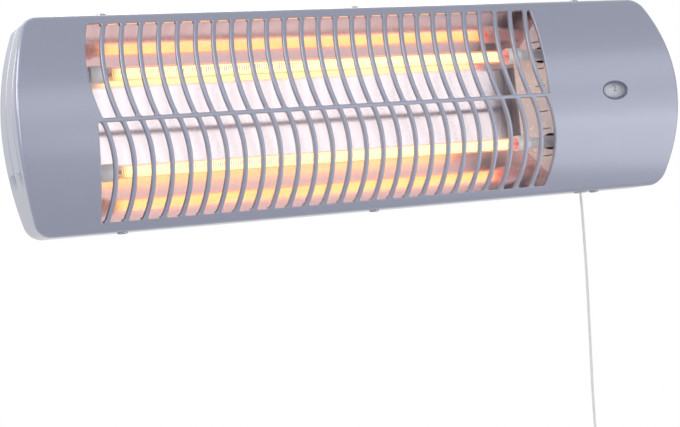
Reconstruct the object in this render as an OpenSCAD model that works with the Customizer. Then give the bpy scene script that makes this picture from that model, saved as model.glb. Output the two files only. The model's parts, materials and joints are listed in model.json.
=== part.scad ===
// Two-bar electric heater for a wall, with a pull cord.
// X runs to the right, -Y to the room and +Z up. The origin is the middle of the wall bracket's back face.
// Depths named _t run back from the crest of the bowed face.

/* [Housing] */
// Height of the housing
case_h = 150; // [146:1:156]
// Length of the housing at mid height
case_l = 528.4; // [522:0.2:560]
// Radius of the bowed face, seen from the end
face_r = 150; // [140:1:200]
// Radius of the bowed ends above mid height, seen from the front
end_r = 185; // [170:1:260]
// Radius of the bowed ends below mid height, which are flatter
end_low_r = 240; // [200:5:300]
// Radius of the four corners, seen from the front
corner_r = 13; // [10:0.5:18]
// Wall of the front cover
case_wall = 2.8; // [2.4:0.1:3]
// Depth of the front cover, from the crest to its back edge
cover_t = 50; // [49.5:0.5:56]
// Depth of the housing, from the crest to the back of its pan
pan_t = 76; // [75:0.5:84]
// How far the back cover's pan is drawn in from the outline
pan_inset = 14; // [12:0.5:17]
// Wall of the back cover
pan_wall = 2.5; // [2:0.1:3]
// Thickness of the back cover's screw tabs
tab_h = 2.1; // [1.8:0.1:2.3]
// Width of the back cover's screw tabs
tab_w = 16; // [12:1:24]
// Clearance round a piece that drops into another
fit_gap = 0.3; // [0.2:0.05:0.4]
// Width of the grooves in the end walls
groove_w = 1.4; // [0.8:0.1:2]
// Depth of the grooves in the end walls
groove_d = 0.6; // [0.3:0.1:1]

/* [Grille] */
// Plain face to the left of the grille's straight end, at mid height
grille_left = 54.6; // [50:0.1:60]
// Plain face to the right of the grille's straight end, at mid height
grille_right = 118.8; // [114:0.1:124]
// Plain face over and under the grille
grille_edge = 6.9; // [6.6:0.1:9]
// Number of slats in a row
slat_count = 26; // [20:1:28]
// Width of a slat
slat_w = 3.2; // [2.4:0.1:4]
// How far a slat bows at mid height
slat_bow = 6.2; // [4:0.1:7]
// Height of the rail between the rows
rail_h = 3; // [2.5:0.1:5]
// From the straight end to the tips of the last slat's middle line
flat_end_gap = 4.2; // [3.6:0.1:6]
// From the other row's straight end to the tips of the bowed end
bow_end_gap = 1.9; // [1:0.1:4]

/* [Reflector] */
// Thickness of the reflector's sheet
sheet = 0.6; // [0.5:0.05:0.8]
// Depth of the reflector's flat middle
land_t = 46; // [44:0.5:47]
// From the cover's wall to the reflector's mouth
mouth_gap = 3.8; // [3.7:0.1:6]
// Depth of the reflector's lip, from its mouth
lip_l = 3.54; // [2.5:0.02:6]
// From the mouth's edge in to the flat middle
side_in = 33.5; // [31:0.1:36]
// How far the reflector's flat middle runs past the end of the glowing tube
land_past = 19; // [16:0.5:21]
// How far each end plate of the reflector leans out
flare = 15; // [12:0.5:17]

/* [Elements] */
// Outer diameter of a quartz tube
tube_d = 10; // [9:0.5:11]
// Wall of a quartz tube
tube_wall = 0.8; // [0.6:0.1:1.2]
// From the grille's straight ends in to the tubes' caps
cap_in = 18; // [16:0.5:22]
// Depth of the tubes' axes
tube_t = 24; // [23:0.5:26]
// How far a tube lies nearer to mid height than the middle of its row of slats
tube_low = 0.9; // [0:0.1:3]
// Middle of the tubes, to the left of the grille's middle
tube_left = 3.4; // [1:0.1:5.5]
// Outer diameter of a heating coil
coil_d = 7.6; // [6:0.1:7.7]
// Diameter of a heating coil's wire
coil_wire = 0.7; // [0.5:0.05:1]
// Unheated length at each end of a coil
cold_l = 5; // [3:0.5:10]
// Diameter of a ceramic cap
cap_d = 12.4; // [12:0.1:13]
// Length of a ceramic cap's head
cap_l = 12; // [10:0.5:14]
// How deep a tube sits in its cap
socket_l = 6; // [4:0.5:8]
// Diameter of a ceramic cap's neck
neck_d = 9; // [8:0.1:10]
// Diameter of a terminal pin
pin_d = 2.2; // [1.8:0.1:2.6]
// How far a terminal pin stands out of its cap
pin_out = 4; // [3:0.5:5]
// Thickness of the brackets that carry the tubes
holder = 1.2; // [1:0.1:1.6]
// Height of the brackets that carry the tubes
holder_h = 92; // [84:1:98]
// Length of those brackets' feet
holder_foot = 11; // [9:0.5:12]
// Gap between a reflector's mouth and the bracket beside it
holder_gap = 3; // [2.5:0.1:3.5]

/* [Window and drum] */
// From the housing's right end to the middle of the window
window_in = 59.7; // [57:0.1:62]
// Height of the window's middle
window_z = 0.5; // [-2:0.1:2]
// Length of the lens
lens_l = 19.8; // [17:0.1:21]
// Height of the lens
lens_h = 11.6; // [10:0.1:13]
// How thick the lens is
lens_t = 3; // [2.8:0.1:3.4]
// Width of the dark rim round the lens
bezel_w = 1.4; // [1.2:0.1:2]
// Thickness of the dark rim
bezel_t = 1.5; // [1.2:0.1:1.8]
// Diameter of the indicator drum
drum_d = 26; // [24:0.5:27]
// Length of the indicator drum
drum_l = 23; // [20:0.5:24]
// Diameter of the drum's shaft
drum_shaft = 4; // [3:0.1:5]
// Running clearance of shafts and bolts, all round
run_gap = 0.08; // [0.03:0.01:0.1]

/* [Switch and cord] */
// From the middle of the window to the cord, leftwards
cord_in = 24.5; // [23.5:0.1:26.5]
// From the face's lower edge back to the cord
cord_back = 6.9; // [6:0.1:8]
// Diameter of the cord
cord_d = 2; // [1.5:0.1:2.4]
// Diameter of the bush's flange
bush_d = 10; // [9:0.5:12]
// Diameter of the bush's sleeve
bush_neck = 6.6; // [6:0.1:7.4]
// Bore of the bush
bush_bore = 3.2; // [3:0.1:3.8]
// Thickness of the bush's flange
bush_t = 1; // [0.8:0.1:1.6]
// Width of the switch's body
switch_w = 11; // [10:0.5:11.5]
// Depth of the switch's body, front to back
switch_d = 38; // [36:0.5:39]
// Height of the switch's body
switch_h = 42; // [40:0.5:44]
// Height of the switch's underside above the lower tube's axis
switch_lift = 3.9; // [3:0.1:5]
// Height of the lever's pivot under mid height
lever_z = 22; // [20:0.5:23]
// From the lever's pivot to the cord
lever_arm = 14; // [13:0.5:15]
// Thickness of the lever's plate
lever_h = 4; // [3:0.1:4.4]
// Diameter of the lever's pivot pin
lever_pin = 3; // [2.5:0.1:3.5]
// Diameter of the bead that the lever pulls up
bead_d = 5; // [4.6:0.1:5.2]
// Length of the knob on the cord's end
knob_l = 28; // [24:1:32]
// Diameter of the knob on the cord's end
knob_d = 13; // [10:0.5:15]

/* [Wiring] */
// Diameter of the internal wires
wire_d = 2.4; // [1.8:0.1:2.8]
// Diameter of the thermal cut-out
cutout_d = 16; // [14:0.5:20]
// Thickness of the thermal cut-out
cutout_h = 8; // [6:0.5:9]
// Place of the thermal cut-out, to the right of the housing's middle
cutout_x = 60; // [40:1:80]
// From the housing's right end to the middle of the terminal block
block_in = 34.2; // [32:0.1:38]
// Length of the terminal block
block_l = 32; // [28:1:36]
// Width of the terminal block
block_w = 18; // [16:1:20]
// Height of the terminal block
block_h = 14; // [12:0.5:15]
// Bore of the grommet for the supply cable
cable_bore = 8; // [7:0.5:9]
// Place of the grommet, under mid height
cable_z = 36; // [34:0.5:38]

/* [Brackets] */
// Thickness of the brackets' steel
steel = 2; // [1.5:0.1:2.5]
// Length of the wall bracket
wall_l = 160; // [150:1:200]
// Height of the wall bracket
wall_h = 70; // [60:1:76]
// From the wall to the pivot's axis
pivot_y = 32; // [31:0.5:36]
// From the pivot's axis to the back of the housing
pivot_gap = 15; // [14:0.5:18]
// Radius of the brackets' round ears
ear_r = 9; // [8:0.5:10]
// Height of the swivel bracket
swivel_h = 50; // [44:1:54]
// Diameter of the pivot bolts
bolt_d = 6; // [5:0.1:6.5]
// Thickness of the washers at the pivots
washer_t = 1; // [0.8:0.1:1.5]
// Distance between the wall screws, along the wall
hole_pitch_x = 120; // [100:1:130]
// Distance between the wall screws, upwards
hole_pitch_z = 44; // [36:1:46]
// Diameter of the holes for the wall screws
hole_d = 5.5; // [4.5:0.1:6.5]

/* [Screws] */
// Diameter of the case screws' heads
head_d = 7.4; // [6.5:0.1:8]
// Height of the case screws' heads
head_h = 1.5; // [1.2:0.1:2.4]
// Diameter of the case screws
screw_d = 3.8; // [3:0.1:4]
// From each end of the housing to the nearest case screw
screw_in = 71.6; // [70:0.2:76]
// From the face's upper edge back to the case screws
screw_back = 7.2; // [6:0.1:9]
// Length of a case screw under its head
screw_l = 6; // [5.6:0.1:6.4]
// Diameter of the inner screws
small_d = 3; // [2.5:0.1:3.4]

/* [Hidden] */

fine = 180;
medium = 64;
small = 32;

crest_y = -(pivot_y + pivot_gap + pan_t);
half_l = case_l / 2;
half_h = case_h / 2;
face_edge_t = face_r - sqrt(face_r * face_r - half_h * half_h);

// The outline of the housing's ends: arcs, and corners that run into them
corner_z = half_h - corner_r;
function corner_x(r) = half_l - r + sqrt(pow(r - corner_r, 2) - pow(corner_z, 2));
function corner_angle(r) = asin(corner_z / (r - corner_r));
groove_ts = [12, 31.5];
groove_stop = 22;
groove_z0 = groove_stop - corner_z;
groove_z1 = corner_z;

// The grille and its slats
grille_l = case_l - grille_left - grille_right;
grille_x = (grille_left - grille_right) / 2;
row_z0 = rail_h / 2;
row_z1 = half_h - grille_edge;
row_mid = (row_z0 + row_z1) / 2;
row_half = (row_z1 - row_z0) / 2;
slat_r = (slat_bow * slat_bow + row_half * row_half) / (2 * slat_bow);
grille_half = grille_l / 2;
slat_pitch = (grille_l - flat_end_gap - bow_end_gap) / slat_count;
first_slat = bow_end_gap - grille_half + slat_pitch;

// The back cover: its pan, its tabs for the case screws, and the bosses on its floor
pan_floor_t = pan_t - pan_wall;
pan_half_h = half_h - pan_inset;
pan_half_l = half_l - pan_inset - 8;
pan_corner = 10;
tab_z = half_h - case_wall - fit_gap;
screw_t = face_edge_t + screw_back;
tab_t = screw_t - 4.5;
screw_xs = [screw_in - half_l, 0, half_l - screw_in];
boss_t = pan_floor_t - 4;
boss_d = 8;

// The reflector, inside first, from the top of its mouth round to the bottom
mouth_z = half_h - case_wall - mouth_gap;
mouth_t = face_r - sqrt(pow(face_r - case_wall, 2) - pow(mouth_z, 2)) + 0.8;
lip_t = mouth_t + lip_l;
land_z = mouth_z - side_in;
section = [
    [mouth_t, mouth_z], [lip_t, mouth_z - 0.4], [land_t, land_z],
    [land_t, -land_z], [lip_t, 0.4 - mouth_z], [mouth_t, -mouth_z]
];
back_t = land_t + sheet;
cap_x = grille_l / 2 - cap_in;
land_half = cap_x + land_past;
mouth_half = land_half + flare;

// The inner face of the right end plate at depth t, from the middle of the tubes
function plate_x(t) = land_half + flare * (back_t - t) / (back_t - mouth_t);

// The brackets that carry the caps
holder_x = mouth_half + holder_gap;
holder_front_t = 12;
holder_out_x = holder_x + holder;
holder_screw_x = holder_x - (holder_foot - holder) / 2;
holder_screw_in = 12;
holder_screw_z = holder_h / 2 - holder_screw_in;

// The tubes
tube_x = grille_x - tube_left;
tube_z = row_mid - tube_low;
tube_end = cap_x + socket_l - fit_gap;
coil_end = cap_x - cold_l;
neck_end = holder_out_x + 1.5;
pin_end = neck_end + pin_out;
right_pin = tube_x + pin_end;
left_pin = tube_x - pin_end;
link_x = left_pin - 3.2;
return_x = tube_x - holder_out_x - 3.3;

// The window: rim, lens with its flange behind the wall, drum behind the lens
bezel_seat_t = 2;
lens_flange = 1;
lens_flange_w = 1.5;
lens_back_t = case_wall + 0.4 + lens_flange;
window_x = half_l - window_in;
drum_t = lens_back_t + 1.8 + drum_d / 2;
drum_rim = 2;
drum_shaft_l = 8;

// The switch and its lever
cord_x = window_x - cord_in;
cord_t = face_edge_t + cord_back;
switch_x = cord_x + 4;
switch_mid = switch_x + switch_w / 2;
switch_x2 = switch_x + switch_w;
drum_x = switch_x2 + 1;
switch_t = 10;
switch_back_t = switch_t + switch_d;
switch_bottom = switch_lift - tube_z;
switch_top = switch_bottom + switch_h;
lever_t = cord_t + lever_arm;
lever_w = 3;
lever_hub = 8;
lever_z1 = -lever_z - lever_h / 2;
lever_z2 = -lever_z + lever_h / 2;
spring_d = 7;
fork_w = 6.6;
fork_t0 = cord_t - 8;
fork_t1 = cord_t + 5;
slot_w = cord_d + 1;
bead_gap = 0.5;
bead_z = lever_z2 + bead_gap + bead_d / 2;
hinge_z = -half_h - bush_t - 1;

// The terminal block, the grommet, the cut-out and the wires between them
ear_h = 2;
block_x = half_l - block_in;
block_x1 = block_x - block_w / 2;
block_screw_z = block_l / 2 + 4;
block_ear_z = block_screw_z + 4;
grommet_neck = cable_bore + 4;
cutout_tab = 4;
wire_t = back_t + cutout_h + 3.4;
hole_wire = 12;
wire_bend = 2.6;
live_x = (switch_x2 + block_x1) / 2;
live_z = -10;
earth_drop = 4;
earth_z = switch_top - earth_drop;

// Places of the screws on the pan's floor: X, Z, and the depth of the face under the head
small_l = 6;
holder_places = [
    for (side = [-1, 1], s = [-1, 1])
        [tube_x + side * holder_screw_x, s * holder_screw_z, boss_t - holder]
];
switch_places = [
    [switch_mid, switch_top + holder_foot / 2, boss_t - holder],
    [switch_mid, switch_bottom - holder_foot / 2, boss_t - holder]
];
block_places = [for (s = [-1, 1]) [block_x, s * block_screw_z, boss_t - ear_h]];
inner_places = concat(holder_places, switch_places, block_places);

// The pivots, and the screws of the swivel bracket
ear_x = wall_l / 2 - steel;
swivel_x = ear_x - washer_t;
swivel_screw = 4;
swivel_screw_l = 8;
swivel_screw_in = 22;
swivel_screw_edge = 10;
swivel_screw_x = swivel_x - swivel_screw_in;
swivel_screw_z = swivel_h / 2 - swivel_screw_edge;
swivel_places = [for (x = [-1, 1], z = [-1, 1]) [x * swivel_screw_x, z * swivel_screw_z]];
boss_places = concat(inner_places, swivel_places);
nut_x = wall_l / 2 + washer_t;
nut_l = 9;
wing_r = 5;
wing_z = 7;
swivel_y = -(pivot_y + pivot_gap);

// The route of the hanging cord, from the bush down to its knob
cord_top = [cord_x, crest_y + cord_t, hinge_z - cord_d / 2 - 0.05];
cord_route = [
    [0, 0, 0], [-0.2, 0, -12], [-0.8, 0.4, -34], [-1.6, 1, -60], [-2.8, 2, -90], [-4.2, 3, -120],
    [-5.6, 4, -150], [-6.6, 4.6, -178], [-7.2, 5, -206], [-7.4, 5, -230], [-7.4, 5, -250]
];
cord_steps = 5;
cord_sides = 8;

// Puts a shape that is drawn with y as the depth behind the crest into place
module in_housing() { translate([0, crest_y, 0]) children(); }

// Extrudes a front view, drawn in X and Z, from depth t0 to depth t1
module front_view(t0, t1) { translate([0, t1, 0]) rotate([90, 0, 0]) linear_extrude(t1 - t0) children(); }

// Extrudes an end view, drawn in depth and Z, from x0 to x1
module end_view(x0, x1) { translate([x0, 0, 0]) rotate([90, 0, 90]) linear_extrude(x1 - x0) children(); }

// Extrudes a plan, drawn in X and depth, from z0 to z1
module plan(z0, z1) { translate([0, 0, z0]) linear_extrude(z1 - z0) children(); }

// Round bars along X, along Z at a place, and along the depth
module bar_x(d, x0, x1, fn = small) {
    translate([x0, 0, 0]) rotate([0, 90, 0]) cylinder(d = d, h = x1 - x0, $fn = fn);
}
module bar_z(d, x, t, z0, z1) { translate([x, t, z0]) cylinder(d = d, h = z1 - z0, $fn = medium); }
module bar_y(d, t0, t1, fn = small) {
    translate([0, t1, 0]) rotate([90, 0, 0]) cylinder(d = d, h = t1 - t0, $fn = fn);
}

// A box given by its lower and upper corners
module block(a, b) { translate(a) cube(b - a); }

// The upper right quarter of the housing's front view, drawn in by an inset, with an end of radius r
module quarter(r, inset) {
    angle = corner_angle(r);
    translate([-1, -1]) square([corner_x(r) + 1, half_h - inset + 1]);
    translate([half_l - r, 0]) intersection() {
        circle(r = r - inset, $fn = 2 * fine);
        polygon([[0, 0], [2 * r, 0], 2 * r * [cos(angle), sin(angle)]]);
    }
    translate([corner_x(r), corner_z]) circle(r = corner_r - inset, $fn = medium);
}

// The housing's front view, drawn in by an inset
module outline(inset) {
    for (side = [0, 1]) mirror([side, 0]) {
        quarter(end_r, inset);
        mirror([0, 1]) quarter(end_low_r, inset);
    }
}

// The housing's end view, drawn in by an inset, back to depth t1
module face_profile(inset, t1) {
    z = half_h - inset;
    intersection() {
        translate([face_r, 0]) circle(r = face_r - inset, $fn = 2 * fine);
        translate([0, -z]) square([t1, 2 * z]);
    }
}

// The solid of the cover's outside, or of its inside when drawn in by its wall
module cover_solid(inset, t1) {
    intersection() {
        end_view(-half_l, half_l) face_profile(inset, t1);
        front_view(0, t1) outline(inset);
    }
}

// One window of the grille's upper row, to the right of the slat whose tips are at x0
module window(x0, last) {
    x1 = x0 + slat_pitch;
    right = last ? grille_half : x1;
    difference() {
        intersection() {
            translate([x0 - slat_bow + slat_r, row_mid]) circle(r = slat_r - slat_w / 2, $fn = fine);
            translate([x0 - slat_bow, row_z0]) square([right - x0 + slat_bow, row_z1 - row_z0]);
        }
        if (!last) translate([x1 - slat_bow + slat_r, row_mid]) circle(r = slat_r + slat_w / 2, $fn = fine);
    }
}

// Both rows of windows. The lower row is the upper one turned by half a turn
module windows() {
    for (turn = [0, 180], i = [0:slat_count])
        rotate(turn) window(first_slat + (i - 1) * slat_pitch, i == slat_count);
}

// An ellipse, l long and h high
module oval(l, h) {
    polygon([for (k = [1:medium]) let (a = 360 * k / medium) [l / 2 * cos(a), h / 2 * sin(a)]]);
}

// The lens's oval, grown all round, in its place in the front view
module window_oval(grow) {
    translate([window_x, window_z]) oval(lens_l + 2 * grow, lens_h + 2 * grow);
}

// A rectangle with round corners
module round_rect(l, h, r) {
    square([l - 2 * r, h], center = true);
    square([l, h - 2 * r], center = true);
    for (x = [-1, 1], z = [-1, 1]) translate([x * (l / 2 - r), z * (h / 2 - r)]) circle(r = r, $fn = medium);
}

// The back cover's pan in the front view, drawn in by an inset
module pan_outline(inset) {
    round_rect(2 * (pan_half_l - inset), 2 * (pan_half_h - inset), pan_corner - inset);
}

// The side of a bent sheet that lies a thickness away from its line of bends
function sheet_normal(a, b) = [a.y - b.y, b.x - a.x] / norm(b - a);
function sheet_back(line, thick) = [
    for (i = [0:len(line) - 1]) let (
        last = len(line) - 1,
        n1 = i == 0 ? sheet_normal(line[0], line[1]) : sheet_normal(line[i - 1], line[i]),
        n2 = i == last ? n1 : sheet_normal(line[i], line[i + 1])
    ) line[i] + thick * (n1 + n2) / (1 + n1 * n2)
];
function backwards(list) = [for (i = [len(list) - 1:-1:0]) list[i]];

// A bent sheet seen along its bends
module bent_sheet(line, thick) { polygon(concat(line, backwards(sheet_back(line, thick)))); }

// A thin band outside the outline at each end, which cuts a groove into the end walls
module groove_band() {
    for (side = [0, 1]) mirror([side, 0]) difference() {
        translate([corner_x(end_r), groove_z0])
            square([half_l - corner_x(end_r) + 1, groove_z1 - groove_z0]);
        outline(groove_d);
    }
}

module front_cover() {
    color("#9a9fb0") in_housing() difference() {
        cover_solid(0, cover_t);
        cover_solid(case_wall, cover_t + 1);
        front_view(-1, mouth_t) translate([grille_x, 0]) windows();
        front_view(-1, bezel_seat_t) window_oval(bezel_w + fit_gap / 2);
        front_view(-1, lens_back_t) window_oval(fit_gap);
        for (t = groove_ts) front_view(t - groove_w / 2, t + groove_w / 2) groove_band();
        for (x = screw_xs) bar_z(screw_d + fit_gap, x, screw_t, -half_h - 1, half_h + 1);
        bar_z(bush_neck + fit_gap, cord_x, cord_t, -half_h - 1, -half_h + case_wall + 1);
    }
}

module back_cover() {
    color("#83889a") in_housing() difference() {
        union() {
            front_view(cover_t - pan_wall, cover_t) difference() {
                outline(case_wall + fit_gap);
                pan_outline(pan_wall);
            }
            front_view(cover_t - pan_wall / 2, pan_t) difference() {
                pan_outline(0);
                pan_outline(pan_wall);
            }
            front_view(pan_floor_t, pan_t) pan_outline(pan_wall / 2);
            for (x = screw_xs, s = [0, 1]) mirror([0, 0, s])
                block([x - tab_w / 2, tab_t, tab_z - tab_h], [x + tab_w / 2, cover_t - pan_wall / 2, tab_z]);
            for (p = boss_places) translate([p.x, 0, p.y]) bar_y(boss_d, boss_t, pan_t - pan_wall / 2);
        }
        for (x = screw_xs) for (s = [-1, 1])
            bar_z(screw_d + fit_gap, x, screw_t, s * tab_z - tab_h - 1, s * tab_z + tab_h + 1);
        for (p = inner_places) translate([p.x, 0, p.y])
            bar_y(small_d + fit_gap, boss_t - 1, pan_t - 0.8);
        for (p = swivel_places) translate([p.x, 0, p.y])
            bar_y(swivel_screw + fit_gap, boss_t - 1, pan_t + 1);
        translate([block_x, 0, -cable_z]) bar_y(grommet_neck + fit_gap, pan_floor_t - 1, pan_t + 1, medium);
    }
}

// One pan-headed screw along +Z, its head from z = 0 up
module screw(d, l, head, height) {
    cylinder(d = head, h = height, $fn = small);
    translate([0, 0, -l]) cylinder(d = d, h = l, $fn = small);
}

module case_screws() {
    color("#b9bcc4") in_housing() for (x = screw_xs, s = [0, 1]) mirror([0, 0, s])
        translate([x, screw_t, half_h]) difference() {
            screw(screw_d, screw_l, head_d, head_h);
            translate([0, 0, head_h]) cross_slot(head_d * 0.55, 0.7);
        }
}

// The cross recess of a screw's head, sunk from z = 0
module cross_slot(l, depth) {
    for (turn = [0, 90]) rotate(turn) translate([-l / 2, -0.5, -depth]) cube([l, 1, depth + 1]);
}

module reflector() {
    color("#dfe1e4") in_housing() translate([tube_x, 0, 0]) intersection() {
        end_view(-mouth_half - 5, mouth_half + 5) bent_sheet(section, sheet);
        plan(-half_h, half_h) polygon([
            [-plate_x(mouth_t - 1), mouth_t - 1], [plate_x(mouth_t - 1), mouth_t - 1],
            [plate_x(back_t + 1), back_t + 1], [-plate_x(back_t + 1), back_t + 1]
        ]);
    }
}

// The end plate at the right; the left one is its mirror image
module reflector_end() {
    intersection() {
        plan(-half_h, half_h) bent_sheet([
            [plate_x(back_t), back_t], [plate_x(mouth_t), mouth_t], [holder_x, mouth_t]
        ], sheet);
        difference() {
            end_view(plate_x(back_t) - 1, holder_x + 1) polygon(sheet_back(section, sheet));
            for (s = [-1, 1]) translate([0, tube_t, s * tube_z])
                bar_x(cap_d + fit_gap, 0, holder_x + 2, medium);
        }
    }
}

// Puts one of two mirror images at its end of the tubes
module at_tube_end(side) { in_housing() translate([tube_x, 0, 0]) mirror([side, 0, 0]) children(); }

module reflector_end_left() { color("#d3d5d9") at_tube_end(1) reflector_end(); }
module reflector_end_right() { color("#d3d5d9") at_tube_end(0) reflector_end(); }

// The bracket that carries the caps and the reflector's end, at the right
module tube_bracket() {
    difference() {
        union() {
            block([holder_x, holder_front_t, -holder_h / 2], [holder_out_x, boss_t, holder_h / 2]);
            block([holder_out_x - holder_foot, boss_t - holder, -holder_h / 2],
                [holder_out_x, boss_t, holder_h / 2]);
        }
        for (s = [-1, 1]) translate([0, tube_t, s * tube_z])
            bar_x(neck_d + fit_gap, holder_x - 1, holder_out_x + 1, medium);
        translate([0, wire_t, 0]) bar_x(hole_wire, holder_x - 1, holder_out_x + 1);
        for (s = [-1, 1]) translate([holder_screw_x, 0, s * holder_screw_z])
            bar_y(small_d + fit_gap, boss_t - holder - 1, boss_t + 1);
    }
}

module tube_bracket_left() { color("#a9abb0") at_tube_end(1) tube_bracket(); }
module tube_bracket_right() { color("#a9abb0") at_tube_end(0) tube_bracket(); }

// Puts a piece that is drawn along X on the axis of the upper or the lower tube
module on_tube(s) { in_housing() translate([tube_x, tube_t, s * tube_z]) children(); }

module quartz_tube() {
    color([1, 0.55, 0.5, 0.6]) difference() {
        bar_x(tube_d, -tube_end, tube_end, medium);
        bar_x(tube_d - 2 * tube_wall, -tube_end - 1, tube_end + 1, medium);
    }
}

module quartz_tube_upper() { on_tube(1) quartz_tube(); }
module quartz_tube_lower() { on_tube(-1) quartz_tube(); }

// The coil's body as a sleeve, closed by its last turns at both ends
module heating_coil() {
    color("#ffb37a") difference() {
        bar_x(coil_d, -coil_end, coil_end, small);
        bar_x(coil_d - 2 * coil_wire, coil_wire - coil_end, coil_end - coil_wire, small);
    }
}

module heating_coil_upper() { on_tube(1) heating_coil(); }
module heating_coil_lower() { on_tube(-1) heating_coil(); }

module ceramic_cap() {
    color("#f3f1ec") difference() {
        union() {
            bar_x(cap_d, cap_x, cap_x + cap_l, medium);
            bar_x(neck_d, cap_x + cap_l - 1, neck_end, medium);
        }
        bar_x(tube_d + fit_gap, cap_x - 1, cap_x + socket_l, medium);
        bar_x(pin_d + fit_gap, cap_x, neck_end + 1);
    }
}

module ceramic_cap_upper_left() { on_tube(1) mirror([1, 0, 0]) ceramic_cap(); }
module ceramic_cap_upper_right() { on_tube(1) ceramic_cap(); }
module ceramic_cap_lower_left() { on_tube(-1) mirror([1, 0, 0]) ceramic_cap(); }
module ceramic_cap_lower_right() { on_tube(-1) ceramic_cap(); }

module terminal_pins() {
    color("#8d8f94") for (s = [-1, 1], side = [0, 1])
        on_tube(s) mirror([side, 0, 0]) bar_x(pin_d, coil_end, pin_end);
}

module lens() {
    color([0.85, 0.88, 0.92, 0.5]) in_housing() {
        front_view(lens_back_t - lens_t, lens_back_t) window_oval(0);
        front_view(lens_back_t - lens_flange, lens_back_t) window_oval(lens_flange_w);
    }
}

module lens_bezel() {
    color("#3c3f47") in_housing() front_view(bezel_seat_t - bezel_t, bezel_seat_t) difference() {
        window_oval(bezel_w);
        window_oval(fit_gap);
    }
}

module indicator_drum() {
    color("#e9e9ea") in_housing() translate([0, drum_t, window_z]) difference() {
        union() {
            bar_x(drum_d, drum_x, drum_x + drum_l, medium);
            bar_x(drum_shaft, drum_x - drum_shaft_l, drum_x + 1);
        }
        bar_x(drum_d - 2 * drum_rim, drum_x + drum_rim, drum_x + drum_l + 1, medium);
    }
}

module pull_switch() {
    color("#2f3136") in_housing() {
        difference() {
            block([switch_x, switch_t, switch_bottom], [switch_x2, switch_back_t, switch_top]);
            translate([0, drum_t, window_z])
                bar_x(drum_shaft + 2 * run_gap, drum_x - drum_shaft_l - fit_gap, drum_x);
        }
        translate([0, lever_t, -lever_z]) bar_x(lever_pin, cord_x - lever_w / 2 - 1, switch_x + 1);
    }
}

module switch_lever() {
    color("#e6e2d8") in_housing() difference() {
        union() {
            translate([0, lever_t, -lever_z]) bar_x(lever_hub, cord_x - lever_w / 2, cord_x + lever_w / 2);
            block([cord_x - lever_w / 2, cord_t, lever_z1], [cord_x + lever_w / 2, lever_t, lever_z2]);
            block([cord_x - fork_w / 2, fork_t0, lever_z1], [cord_x + fork_w / 2, fork_t1, lever_z2]);
        }
        translate([0, lever_t, -lever_z]) bar_x(lever_pin + 2 * run_gap, cord_x - lever_w, cord_x + lever_w);
        block([cord_x - slot_w / 2, fork_t0 + 2.5, lever_z1 - 1],
            [cord_x + slot_w / 2, fork_t1 - 2.5, lever_z2 + 1]);
    }
}

module lever_spring() {
    color("#c7c9cc") in_housing() translate([0, lever_t, -lever_z]) {
        difference() {
            bar_x(spring_d, cord_x + lever_w / 2 + fit_gap, switch_x - fit_gap);
            bar_x(lever_pin + 2 * fit_gap, cord_x, switch_x);
        }
        translate([switch_x - 1.2, 0, 0]) bar_y(0.9, spring_d / 2 - 0.6, spring_d / 2 + 4);
    }
}

module switch_bracket() {
    color("#a9abb0") in_housing() difference() {
        union() {
            block([switch_x, switch_back_t, switch_bottom], [switch_x2, switch_back_t + holder, switch_top]);
            for (z = [switch_bottom, switch_top - holder])
                block([switch_x, switch_back_t, z], [switch_x2, boss_t, z + holder]);
            for (z = [switch_bottom - holder_foot, switch_top - holder])
                block([switch_x, boss_t - holder, z], [switch_x2, boss_t, z + holder_foot + holder]);
        }
        for (p = switch_places) translate([p.x, 0, p.y])
            bar_y(small_d + fit_gap, boss_t - holder - 1, boss_t + 1);
    }
}

// The screws inside, each seated on the foot or ear that it holds
module inner_screws() {
    color("#9c9ea3") in_housing() for (p = inner_places) translate([p.x, p.z, p.y]) rotate([90, 0, 0])
        screw(small_d, small_l, small_d * 1.8, small_d * 0.6);
}

module cord_bush() {
    color("#cfd1d6") in_housing() difference() {
        union() {
            bar_z(bush_d, cord_x, cord_t, -half_h - bush_t, -half_h);
            bar_z(bush_neck, cord_x, cord_t, -half_h - bush_t, -half_h + case_wall + 2);
        }
        bar_z(bush_bore, cord_x, cord_t, -half_h - bush_t - 1, -half_h + case_wall + 3);
    }
}

// The inner end of the cord, with the bead that lies on the lever's fork. Its lower end is round
module pull_link() {
    color("#dcdad2") in_housing() translate([cord_x, cord_t, 0]) rotate_extrude($fn = small) intersection() {
        union() {
            translate([0, hinge_z]) circle(d = cord_d, $fn = small);
            translate([0, hinge_z]) square([cord_d / 2, bead_z - hinge_z]);
            translate([0, bead_z]) circle(d = bead_d, $fn = small);
        }
        translate([0, hinge_z - cord_d]) square([bead_d, bead_z - hinge_z + cord_d + bead_d]);
    }
}

// The hanging cord's middle line: a smooth curve through the route's points
function curve(a, b, c, d, u) = 0.5 * (2 * b + (c - a) * u + (2 * a - 5 * b + 4 * c - d) * u * u
    + (3 * b - a - 3 * c + d) * u * u * u);
function cord_line(route, steps) = [
    for (i = [0:len(route) - 2], k = [0:steps - 1]) curve(route[max(i - 1, 0)], route[i], route[i + 1],
        route[min(i + 2, len(route) - 1)], k / steps),
    route[len(route) - 1]
];

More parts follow.
